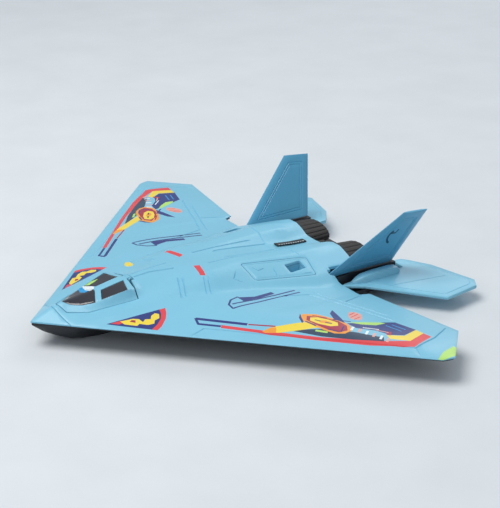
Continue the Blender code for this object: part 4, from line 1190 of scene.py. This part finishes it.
@dataclass(frozen=True)
class Canopy:
    """The opening canopy: a blue frame with flush smoked panes."""

    front_y: float = 15.6
    cheek: Point = (6.0, 18.0)
    corner: Point = (12.1, 27.8)
    rear: Point = (16.9, 54.0)
    gap: float = 0.4
    wall: float = 1.2
    hinge_y: float = 57.4
    hinge_drop: float = 0.7
    hinge_half: float = 4.0
    knuckle: Point = (1.15, 2.0)
    knuckle_chamfer: float = 0.12
    frame_end: float = 1.8
    cover_wall: float = 0.5
    web_half: float = 1.8
    web_reach: float = 1.4
    web_z: Point = (-0.7, 0.2)
    pane_inset: float = 0.16
    pane_drop: float = 0.14
    pane_edge: float = 0.12
    windshield: tuple[Point, ...] = ((0.0, 18.6), (1.6, 19.5), (3.4, 21.0), (5.4, 23.2),
                                     (7.5, 26.4), (9.8, 32.8), (1.0, 37.2), (0.0, 37.2))
    side_window: tuple[Point, ...] = ((2.7, 39.8), (10.4, 36.2), (13.2, 50.2), (2.8, 53.4))
    band: tuple[Point, ...] = ((0.8, 32.0), (4.0, 30.8), (8.4, 32.4), (11.6, 33.6), (12.6, 36.4),
                               (8.6, 35.0), (4.2, 34.0), (1.0, 35.0))
    patch: tuple[Point, ...] = ((0.6, 35.0), (4.2, 34.0), (8.6, 35.0), (12.6, 36.4), (13.4, 39.6),
                                (10.8, 37.8), (3.2, 38.9), (0.8, 37.6))
    leaf: tuple[Point, ...] = ((8.2, 38.6), (10.4, 37.0), (11.4, 41.0), (10.0, 45.0), (8.8, 42.0))

    @property
    def notch_y(self) -> float:
        """Return where the shell's opening for the hinge ends.

        Returns:
            The station.
        """
        return self.hinge_y + 1.9

    def edge(self, grow: float) -> list[Point]:
        """Return half of the canopy's outline without its hinge end.

        Args:
            grow: how far it is moved outwards.

        Returns:
            The corners.
        """
        return [(0.0, self.front_y - grow), (self.cheek[0] + grow, self.cheek[1] - grow),
                (self.corner[0] + grow, self.corner[1]), (self.rear[0] + grow, self.rear[1] + grow)]

    def axis(self) -> Point:
        """Return the hinge axis.

        Returns:
            Its y and z.
        """
        return (self.hinge_y, FORM.top(0.0, self.hinge_y) - self.hinge_drop)

    def build(self) -> None:
        """Build the frame with its knuckle, and the panes."""
        end = self.hinge_y - self.frame_end
        cover = (self.knuckle[1], self.hinge_y + 1.5)
        outline = self.edge(0.0) + [(self.hinge_half, end), (cover[0], end), cover, (0.0, cover[1])]
        outline += list(reversed(self.windshield))
        p = PALETTE
        regions = [Region(self.band, p.sky, Side.STARBOARD),
                   Region(self.patch, p.white, Side.STARBOARD)]
        CARRIER.sheet("canopy_frame", Sheet(
            outline, FORM.top,
            lambda x, y: FORM.top(x, y) - (self.wall if y < end + 0.1 else self.cover_wall),
            p.hull, 1.1, holes=[self.side_window], regions=regions, mirrored=True,
            edge_radius=0.18),
            Body.CANOPY, ["canopy_frame"])
        for name, outline, printed, stands_for in (
                ("windshield", self._front_pane(self.pane_inset), regions, ["canopy_glazing"]),
                ("side_windows", shifted(self.side_window, self.pane_inset),
                 [Region(self.leaf, p.lime, Side.STARBOARD)], [])):
            CARRIER.sheet(name, Sheet(
                outline, lambda x, y: FORM.top(x, y) - self.pane_drop,
                lambda x, y: FORM.top(x, y) - self.wall, p.window, 1.1, regions=printed,
                mirrored=True, edge_radius=self.pane_edge), Body.CANOPY, stands_for)
        self._knuckle()

    def _front_pane(self, inset: float) -> list[Point]:
        """Return half of the windshield's outline.

        Args:
            inset: how far inside its opening it lies.

        Returns:
            The corners.
        """
        moved = shifted(self.windshield, inset)
        return [(0.0, moved[0][1])] + moved[1:-1] + [(0.0, moved[-1][1])]

    def _knuckle(self) -> None:
        """Build the hinge knuckle and the web that joins it to the frame."""
        y, z = self.axis()
        radius, half = self.knuckle
        circle = [(y + radius * math.cos(a), z + radius * math.sin(a))
                  for a in (math.radians(15 * i) for i in range(24))]
        chamfer = self.knuckle_chamfer
        loops = [[(x, cy + (y - cy) * cut, cz + (z - cz) * cut) for cy, cz in circle]
                 for x, cut in ((-half, chamfer), (-half + chamfer, 0.0),
                                (half - chamfer, 0.0), (half, chamfer))]
        CARRIER.add("canopy_knuckle", CARRIER.loft(loops), [PALETTE.hull], Body.CANOPY)
        front = self.hinge_y - self.frame_end - self.web_reach
        low, high = z + self.web_z[0], z + self.web_z[1]
        profile = [(front, low), (y, low), (y, high), (front, high)]
        web = [[(x, cy, cz) for cy, cz in profile] for x in (-self.web_half, self.web_half)]
        CARRIER.add("knuckle_web", CARRIER.loft(web), [PALETTE.hull], Body.CANOPY)


@dataclass(frozen=True)
class Fins:
    """The two leaning fins with their recessed inner and outer panels."""

    root_x: float = 40.8
    root_y: Point = (157.6, 204.5)
    height: float = 38.6
    sweep: float = 40.4
    tip_chord: float = 17.2
    cant: float = math.radians(25.3)
    thickness: Point = (2.0, 1.4)
    bevel: float = 3.0
    edge: float = 0.5
    tip_drop: float = 1.8
    wall_top: float = 1.5
    borders: Point = (4.6, 6.0)
    crest_centre: Point = (38.6, 21.4)
    crest_radii: Point = (3.6, 4.6)
    slot: tuple[Point, ...] = ((40.0, 161.8), (40.4, 159.2), (43.0, 159.2), (44.2, 161.8))

    def root_z(self) -> float:
        """Return the height of the fins' root.

        Returns:
            The height above the seam.
        """
        return self.wall_top + GAP + self.thickness[0] / 2.0 * math.sin(self.cant)

    def outline(self) -> list[Point]:
        """Return the fin's flat outline.

        Returns:
            (station behind the root's front, height) corners.
        """
        chord = self.root_y[1] - self.root_y[0]
        return [(0.0, 0.0), (chord, 0.0),
                (self.sweep + self.tip_chord, self.height - self.tip_drop),
                (self.sweep, self.height)]

    def half_thickness(self, s: float, h: float) -> float:
        """Return half of the blade's thickness.

        Args:
            s: station behind the root's front.
            h: height above the root.

        Returns:
            Half of the thickness.
        """
        share = h / self.height
        full = (self.thickness[0] + (self.thickness[1] - self.thickness[0]) * share) / 2.0
        chord = self.root_y[1] - self.root_y[0]
        front = s - self.sweep * share
        rear = chord + (self.sweep + self.tip_chord - chord) * share - s
        near = min(max(min(front, rear), 0.0) / self.bevel, 1.0)
        return self.edge / 2.0 + (full - self.edge / 2.0) * near

    def build(self) -> None:
        """Build both fins."""
        outline = self.outline()
        rings = [shifted(outline, inset) for inset in self.borders]
        grooves = [Groove(tuple(path) + (path[0],), 0.3, 0.3) for path in rings]
        bevels = [shifted(outline, self.bevel)]
        (s, h), (wide, tall) = self.crest_centre, self.crest_radii
        crest = stroke([(s + wide * math.cos(a), h + tall * math.sin(a))
                        for a in (math.radians(d) for d in range(100, 265, 15))], 1.4)
        barb = stroke([(35.6, 24.6), (39.6, 24.2), (41.2, 26.4)], 1.1)
        for side, label in ((1, "left"), (-1, "right")):
            # PALETTE.fin is the hull's blue with painted shade, darker than the hull though it is
            # the same plastic.
            sheet = Sheet(outline, self.half_thickness, lambda s, h: -self.half_thickness(s, h),
                          PALETTE.fin, 1.6, lines=bevels, grooves=grooves, under_grooves=grooves,
                          edge_under=True, edge_radius=0.2,
                          regions=[Region(tuple(crest), PALETTE.mark),
                                   Region(tuple(barb), PALETTE.mark)])
            stand = Matrix(((0.0, 0.0, 1.0, 0.0), (1.0, 0.0, 0.0, 0.0), (0.0, 1.0, 0.0, 0.0),
                            (0.0, 0.0, 0.0, 1.0)))
            lean = Matrix.Rotation(self.cant, 4, "Y")
            move = Matrix.Translation((self.root_x, self.root_y[0], self.root_z()))
            mirror = Matrix.Scale(side, 4, (1.0, 0.0, 0.0))
            CARRIER.sheet(f"{label}_fin", sheet, Body.AIRFRAME, [f"{label}_fin"],
                          mirror @ move @ lean @ stand)


@dataclass(frozen=True)
class Stabilizers:
    """The two turning stabilizers with their root fairings."""

    outline: tuple[Point, ...] = ((45.0, 209.0), (45.0, 168.0), (46.5, 165.0), (53.4, 176.0),
                                  (87.2, 206.4), (84.0, 229.9), (77.5, 234.3), (50.5, 225.9),
                                  (40.1, 218.4), (36.2, 214.9), (35.4, 209.0))
    root: Point = (45.0, -3.0)
    fall: float = 0.05
    thickness: float = 2.4
    rib_x: Point = (45.6, 51.0)
    rib_y: Point = (172.0, 203.0)
    rib_z: Point = (-4.4, 2.4)
    tip_front: Point = (87.2, 206.4)
    tip_rear: Point = (77.5, 234.3)
    tip_side: float = 87.9
    edge_slopes: Point = (0.9, -0.31)
    taper: float = 6.0
    edge_share: float = 0.62

    def middle(self, x: float) -> float:
        """Return the height of the plate's middle.

        Args:
            x: distance from the centre line.

        Returns:
            The height, below zero.
        """
        return self.root[1] - self.fall * (abs(x) - self.root[0])

    def half(self, x: float, y: float) -> float:
        """Return half of the plate's thickness, thinned towards the outer edges.

        Args:
            x: distance from the centre line.
            y: the station.

        Returns:
            Half of the thickness.
        """
        front = (y - self.tip_front[1]) - (x - self.tip_front[0]) * self.edge_slopes[0]
        rear = min((self.tip_rear[1] - y) + (self.tip_rear[0] - x) * self.edge_slopes[1],
                   self.tip_side - x)
        near = min(max(min(front, rear), 0.0) / self.taper, 1.0)
        return self.thickness / 2.0 * (self.edge_share + (1.0 - self.edge_share) * near)

    def build(self) -> None:
        """Build both plates and both fairings."""
        border = shifted(self.outline, 3.4)
        grooves = [Groove(tuple(border[2:9]), 0.3, 0.28),
                   Groove(((60.0, 186.0), (66.0, 222.0)), 0.3, 0.28)]
        for side, label, body in ((1, "left", Body.STABILIZER_LEFT),
                                  (-1, "right", Body.STABILIZER_RIGHT)):
            turn = Matrix.Scale(side, 4, (1.0, 0.0, 0.0))
            sheet = Sheet(self.outline, lambda x, y: self.middle(x) + self.half(x, y),
                          lambda x, y: self.middle(x) - self.half(x, y), PALETTE.hull, 1.8,
                          grooves=grooves, under_grooves=grooves, edge_under=True,
                          edge_radius=0.45)
            CARRIER.sheet(f"{label}_stabilizer", sheet, body, [f"{label}_stabilizer"], turn)
            CARRIER.add(f"{label}_root_fairing", self._fairing(), [PALETTE.hull], body, (), turn)

    def _fairing(self) -> bmesh.types.BMesh:
        """Build the raised fairing along a stabilizer's root.

        Returns:
            The mesh, on the port side.
        """
        low, high = self.rib_z
        loops = []
        for y, width, rise in ((self.rib_y[0], 0.35, 0.42), (174.6, 0.75, 0.72),
                               (178.0, 1.0, 0.92), (186.0, 1.0, 1.0), (197.0, 0.96, 1.0),
                               (201.4, 0.9, 0.9), (self.rib_y[1], 0.8, 0.66)):
            inner = self.rib_x[0]
            outer = inner + (self.rib_x[1] - inner) * width
            top = low + (high - low) * rise
            loops.append([(inner, y, low), (outer, y, low), (outer, y, top - 0.9),
                          (outer - 0.35, y, top - 0.3), (outer - 1.0, y, top),
                          (inner + 0.6, y, top), (inner + 0.15, y, top - 0.2),
                          (inner, y, top - 0.6)])
        return CARRIER.loft(loops)


@dataclass(frozen=True)
class Nozzles:
    """The two flat petalled nozzles and the web between them."""

    x: float = 20.4
    z: float = 1.4
    radii: Point = (13.8, 6.5)
    front_y: float = 178.0
    length: float = 19.5
    wall: float = 1.6
    petals: int = 18
    vane_pitch: float = 2.6
    vane_half: float = 0.35
    vane_reach: Point = (11.4, 3.6)
    vane_depths: Point = (11.6, 8.0)
    web_low: float = -6.5
    segments: int = 216

    def _ring(self, y: float, scale: float, inset: float, ridge: float, side: int
              ) -> list[tuple[float, float, float]]:
        """Return one ring of petals.

        Args:
            y: the station.
            scale: size against the front.
            inset: how far inside the outer face.
            ridge: how deep the grooves between the petals are.
            side: 1 for port and -1 for starboard.

        Returns:
            The ring's points.
        """
        points = []
        for i in range(self.segments):
            angle = 2.0 * math.pi * i / self.segments
            phase = (i * self.petals / self.segments) % 1.0
            groove = max(0.0, 1.0 - min(phase, 1.0 - phase) / 0.14)
            rib = 0.5 - 0.5 * math.cos(4.0 * math.pi * phase)
            cut = inset + ridge * (groove + 0.22 * rib)
            points.append((side * (self.x + (self.radii[0] * scale - cut) * math.cos(angle)), y,
                           self.z + (self.radii[1] * scale - cut) * math.sin(angle)))
        return points

    def build(self) -> None:
        """Build both nozzles and the web."""
        rear = self.front_y + self.length
        for side, label in ((1, "left"), (-1, "right")):
            stations = [(self.front_y, 0.97, 0.0, 0.0), (180.6, 0.97, 0.0, 0.1),
                        (181.4, 0.985, 0.0, 0.5), (185.6, 0.97, 0.0, 0.62),
                        (186.0, 0.945, 0.0, 0.62), (186.5, 0.965, 0.0, 0.7),
                        (192.4, 0.925, 0.0, 0.7), (192.8, 0.9, 0.0, 0.7),
                        (193.2, 0.915, 0.0, 0.7), (rear - 0.3, 0.875, 0.0, 0.66),
                        (rear, 0.855, 0.1, 0.5), (rear - 0.1, 0.855, self.wall - 0.2, 0.2),
                        (rear - 1.0, 0.855, self.wall, 0.3), (rear - 7.0, 0.83, self.wall, 0.3),
                        (rear - 12.0, 0.8, self.wall, 0.1)]
            bm = CARRIER.loft([self._ring(*station, side) for station in stations])
            for face in bm.faces:
                middle = face.calc_center_median()
                away = math.hypot((abs(middle.x) - self.x) / self.radii[0],
                                  (middle.z - self.z) / self.radii[1])
                # Faces deep in each mouth and the end caps take the darker throat finish, which is
                # painted shade.
                if middle.y < rear - 6.0 and away < 0.74 or len(face.verts) > 4:
                    face.material_index = 1
            CARRIER.add(f"{label}_nozzle", bm, [PALETTE.nozzle, PALETTE.shaded_throat],
                        Body.AIRFRAME, [f"{label}_nozzle"])
            self._vanes(side, label, rear)
        self._web()

    def _vanes(self, side: int, label: str, rear: float) -> None:
        """Build the flat vanes inside one nozzle.

        Args:
            side: 1 for port and -1 for starboard.
            label: the side's name.
            rear: the nozzle's rear station.
        """
        bm = bmesh.new()
        for index in range(-3, 4):
            away = index * self.vane_pitch
            x, half = self.x + away, self.vane_half
            wide, tall = self.vane_reach
            reach = tall * math.sqrt(max(1.0 - (away / wide) ** 2, 0.1))
            loops = [[(side * (x + dx), y, self.z + dz * reach) for dx, dz in
                      ((-half, -1.0), (half, -1.0), (half, 1.0), (-half, 1.0))]
                     for y in (rear - depth for depth in self.vane_depths)]
            vane = CARRIER.loft(loops)
            data = bpy.data.meshes.new("vane")
            vane.to_mesh(data)
            vane.free()
            bm.from_mesh(data)
            bpy.data.meshes.remove(data)
        CARRIER.add(f"{label}_nozzle_vanes", bm, [PALETTE.nozzle], Body.AIRFRAME)

    def _web(self) -> None:
        """Build the dark web between the nozzles."""
        low = self.web_low
        loops = []
        for y, half, top in ((180.3, 3.7, 2.9), (180.6, 4.0, 3.2), (188.8, 4.0, 2.8),
                             (189.3, 3.6, 2.4)):
            loops.append([(-half, y, low), (half, y, low), (half, y, top - 0.9),
                          (half - 0.9, y, top), (0.9, y, top), (0.45, y, top - 0.6),
                          (-0.45, y, top - 0.6), (-0.9, y, top), (-half + 0.9, y, top),
                          (-half, y, top - 0.9)])
        CARRIER.add("nozzle_web", CARRIER.loft(loops), [PALETTE.nozzle], Body.AIRFRAME,
                    ["nozzle_bridge"])


@dataclass(frozen=True)
class SpineVent:
    """The louvred vent strip in the valley between the nacelles."""

    half_width: float = 1.9
    span: Point = (153.0, 173.0)
    slats: int = 11

    def build(self) -> None:
        """Build the dark grooved strip and its pale slats."""
        half = self.half_width

        def level(rise: float) -> Height:
            """Return a height function above the valley.

            Args:
                rise: how far above the valley's floor.

            Returns:
                The height function.
            """
            return lambda x, y: FORM.top(0.0, y) + rise

        step = (self.span[1] - self.span[0] - 2.0) / self.slats
        grooves = [Groove(((-half + 0.5, self.span[0] + 1.4 + step * i),
                           (half - 0.9, self.span[0] + 2.0 + step * i)), 0.36, 0.4)
                   for i in range(self.slats)]
        CARRIER.sheet("spine_vent", Sheet(
            [(-half, self.span[0]), (half, self.span[0]), (half, self.span[1]),
             (-half, self.span[1])], level(GAP + 0.8), level(GAP), PALETTE.belly, 0.8,
            grooves=grooves, edge_radius=0.15), Body.AIRFRAME, ["spine_vent"])
        for i in range(self.slats):
            y = self.span[0] + 1.2 + step * i
            dash = [(half - 0.75, y), (half - 0.25, y), (half - 0.25, y + step * 0.5),
                    (half - 0.75, y + step * 0.5)]
            CARRIER.sheet(f"vent_dash_{i + 1}", Sheet(
                dash, level(GAP + 0.92), level(GAP + 0.6), PALETTE.white, 0.6,
                edge_radius=0.05), Body.AIRFRAME)


@dataclass(frozen=True)
class LowerShell:
    """The black lower shell with its deep flat belly."""

    inset: float = 0.7
    screws: tuple[Point, ...] = ((44.0, 100.0), (62.0, 116.0))
    screw_hole: float = 2.5
    panel_lines: tuple[tuple[Point, ...], ...] = (
        ((20.0, 40.0), (20.0, 150.0)),
        ((20.0, 70.0), (64.0, 70.8)),
        ((26.0, 128.0), (120.0, 136.0)),
        ((52.0, 66.0), (126.0, 140.0), (118.0, 162.0)),
        ((0.0, 60.0), (7.0, 60.0)),
        ((0.0, 132.0), (7.0, 132.0)),
    )

    def build(self) -> None:
        """Build the shell."""
        front, rear, trailing = FORM.tip_corners()
        inset = self.inset
        outline = [(0.0, 0.6), (0.0, FORM.notch[1] - inset),
                   (FORM.notch[0], FORM.notch[1] - inset),
                   (FORM.trailing_root[0], FORM.trailing_root[1] - inset),
                   (trailing[0] - inset, trailing[1] - inset * 1.4),
                   (rear[0] - inset * 1.6, rear[1]), (front[0] - inset, front[1] + inset)]
        stations = [19.0, 36.0, 90.0, 148.0, 160.6]
        edges = [[(min(FORM.belly_flat, FORM.flat_spread * y), y) for y in stations],
                 [(min(FORM.belly_side, FORM.side_spread * y), y) for y in stations]]
        CARRIER.sheet("lower_shell", Sheet(
            outline, FORM.ceiling, FORM.bottom, PALETTE.belly, 2.6, lines=edges,
            holes=[ring(spot, self.screw_hole) for spot in self.screws],
            under_grooves=[Groove(path, 0.4, 0.4) for path in self.panel_lines],
            mirrored=True, edge_radius=0.25, edge_under=True), Body.AIRFRAME, ["lower_hull"])


@dataclass(frozen=True)
class Screws:
    """The six self-tapping screws with crossed recesses."""

    spots: tuple[tuple[str, float, float, float], ...] = (
        ("inner", 44.0, 100.0, 0.0), ("outer", 62.0, 116.0, 0.0), ("tail", 22.0, 170.5, -9.0))
    head: Point = (2.3, 1.2)
    clearance: float = 0.2
    cross: tuple[float, float, float] = (1.2, 0.32, 0.6)
    thread: tuple[float, float, float] = (1.08, 0.86, 0.36)
    turns: int = 13

    def build(self) -> None:
        """Build a head and a threaded shank for every screw."""
        radius, height = self.head
        arm, groove_half, groove_depth = self.cross
        crest, trough, rise = self.thread
        for place, x, y, deck in self.spots:
            base = deck if deck else FORM.bottom(x, y)
            seat = base + height + self.clearance
            for side, label in ((1, "left"), (-1, "right")):
                cross = [Groove(((side * x - dx, y - dy), (side * x + dx, y + dy)),
                                groove_half, groove_depth) for dx, dy in ((arm, 0.0), (0.0, arm))]
                CARRIER.sheet(f"{label}_{place}_screw_head", Sheet(
                    ring((side * x, y), radius, 32), lambda px, py, s=seat: s - 0.1,
                    lambda px, py, s=seat: s - height, PALETTE.steel, 0.6,
                    under_grooves=cross, edge_radius=0.35, edge_under=True),
                    Body.AIRFRAME, [f"{label}_{place}_screw"])
                loops = []
                for turn in range(self.turns):
                    level = seat - 0.1 + turn * rise
                    width = crest if turn % 2 else trough
                    loops.append([(px, py, level) for px, py in ring((side * x, y), width, 20)])
                CARRIER.add(f"{label}_{place}_screw_shank", CARRIER.loft(loops),
                            [PALETTE.steel], Body.AIRFRAME)


@dataclass(frozen=True)
class Cockpit:
    """Finishes and small fittings for the cockpit and the hidden mechanism."""

    softened: tuple[tuple[str, Finish, float], ...] = (
        ("tail_deck", PALETTE.belly, 0.35), ("cockpit_tub", PALETTE.cockpit, 0.25),
        ("pilot_seat", PALETTE.cockpit, 0.5), ("instrument_panel", PALETTE.cockpit, 0.3),
        ("control_stick", PALETTE.belly, 0.15), ("hinge_bracket", PALETTE.hull, 0.12),
        ("canopy_hinge_pin", PALETTE.steel, 0.08), ("nose_weight", PALETTE.steel, 0.5),
        ("left_stabilizer_pin", PALETTE.steel, 0.12), ("right_stabilizer_pin", PALETTE.steel, 0.12))
    dials: tuple[tuple[float, float, float], ...] = (
        (-4.6, -0.6, 1.1), (-1.6, -0.6, 1.1), (1.6, -0.6, 1.1), (4.6, -0.6, 1.1),
        (-3.1, -2.4, 0.6), (0.0, -2.4, 0.6), (3.1, -2.4, 0.6))
    panel_y: float = 26.0 + 1.0 + GAP + 1.6
    panel_lean: float = 1.2
    panel_height: float = 5.2

    def build(self, nodes: dict[str, bpy.types.Object]) -> None:
        """Soften and finish the carried-over pieces, and add the dials.

        Args:
            nodes: the frame's solid nodes by name.
        """
        for name, finish, width in self.softened:
            node = nodes[name]
            for index in range(max(len(node.data.materials), 1)):
                if index < len(node.data.materials):
                    node.data.materials[index] = finish.material()
                else:
                    node.data.materials.append(finish.material())
            bevel = node.modifiers.new("soft_edges", "BEVEL")
            bevel.width = width * MM
            bevel.segments = 2
            bevel.limit_method = "ANGLE"
            bevel.angle_limit = math.radians(40.0)
        for index, (x, z, radius) in enumerate(self.dials):
            face = self.panel_y + self.panel_lean * (1.0 - (z + 3.7) / self.panel_height)
            levels = ((0.0, radius), (0.22, radius), (0.3, radius * 0.92), (0.3, radius * 0.78),
                      (0.16, radius * 0.74))
            loops = [[(px, face + rise, pz) for px, pz in ring((x, z), size, 28)]
                     for rise, size in levels]
            CARRIER.add(f"dial_{index + 1}", CARRIER.loft(loops), [PALETTE.belly], Body.AIRFRAME)


@dataclass(frozen=True)
class Studio:
    """The floor, the lights and the camera."""

    eye: tuple[float, float, float] = (0.62454, -0.39495, 0.33527)
    right: tuple[float, float, float] = (0.5519, 0.8339, 0.0)
    up: tuple[float, float, float] = (-0.3232, 0.2139, 0.9218)
    back: tuple[float, float, float] = (0.7687, -0.5087, 0.3876)
    lens: float = 102.74
    lamps: tuple[tuple[str, tuple[float, float, float], float, float, Colour], ...] = (
        ("Key", (-0.15, -0.45, 1.2), 0.9, 12.0, (1.0, 0.985, 0.96)),
        ("Fill", (1.1, -0.9, 0.75), 1.1, 2.0, (0.95, 0.98, 1.0)),
        ("Rim", (-0.6, 1.0, 0.8), 0.8, 3.0, (1.0, 1.0, 1.0)),
    )
    floor_colour: str = "D9DEE2"
    sky: Colour = (0.80, 0.87, 0.95)
    sky_strength: float = 0.42

    def build(self) -> None:
        """Set everything up."""
        scene = bpy.context.scene
        scene.view_settings.view_transform = "Standard"
        data = bpy.data.cameras.new("Camera")
        data.lens = self.lens
        data.sensor_width = 36.0
        data.sensor_fit = "AUTO"
        data.clip_start = 0.01
        camera = bpy.data.objects.new("Camera", data)
        axes = Matrix((self.right, self.up, self.back)).transposed().to_4x4()
        camera.matrix_world = Matrix.Translation(self.eye) @ axes
        bpy.context.collection.objects.link(camera)
        scene.camera = camera
        self._lights()
        self._floor()

    def _lights(self) -> None:
        """Add the soft lamps and the sky."""
        for name, spot, size, power, colour in self.lamps:
            lamp = bpy.data.lights.new(name, "AREA")
            lamp.shape = "DISK"
            lamp.size = size
            lamp.energy = power
            lamp.color = colour
            made = bpy.data.objects.new(name, lamp)
            made.location = spot
            made.rotation_euler = (-Vector(spot)).to_track_quat("-Z", "Y").to_euler()
            bpy.context.collection.objects.link(made)
        world = bpy.data.worlds.new("Studio")
        world.use_nodes = True
        background = world.node_tree.nodes["Background"]
        background.inputs["Color"].default_value = self.sky + (1.0,)
        background.inputs["Strength"].default_value = self.sky_strength
        bpy.context.scene.world = world

    def _floor(self) -> None:
        """Add the pale floor."""
        bm = bmesh.new()
        bmesh.ops.create_grid(bm, x_segments=1, y_segments=1, size=6.0)
        bmesh.ops.translate(bm, verts=bm.verts, vec=(0.0, 0.0, -0.0002))
        data = bpy.data.meshes.new("Floor")
        bm.to_mesh(data)
        bm.free()
        floor = bpy.data.objects.new("Floor", data)
        bpy.context.collection.objects.link(floor)
        data.materials.append(Finish("floor_paper", self.floor_colour, 0.85, Grain.PRINTED,
                                     "hull_blue").material())


@dataclass(frozen=True)
class Glider:
    """The whole glider."""

    canopy: Canopy = Canopy()
    fins: Fins = Fins()
    upper: UpperShell = UpperShell()
    lower: LowerShell = LowerShell()
    stabilizers: Stabilizers = Stabilizers()
    nozzles: Nozzles = Nozzles()
    vent: SpineVent = SpineVent()
    screws: Screws = Screws()
    cockpit: Cockpit = Cockpit()

    def build(self, nodes: dict[str, bpy.types.Object]) -> None:
        """Build every sub-assembly.

        Args:
            nodes: the frame's solid nodes by name.
        """
        self.upper.build(self.canopy, self.fins)
        for part in (self.canopy, self.lower, self.fins, self.stabilizers, self.nozzles,
                     self.vent, self.screws):
            part.build()
            log.info("built %s", type(part).__name__)
        self.cockpit.build(nodes)


def main() -> None:
    """Load the frame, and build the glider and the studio."""
    logging.basicConfig(level=logging.INFO, format="%(name)s: %(message)s")
    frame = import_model()
    Glider().build(frame["nodes"])
    Studio().build()


if __name__ == "__main__":
    main()
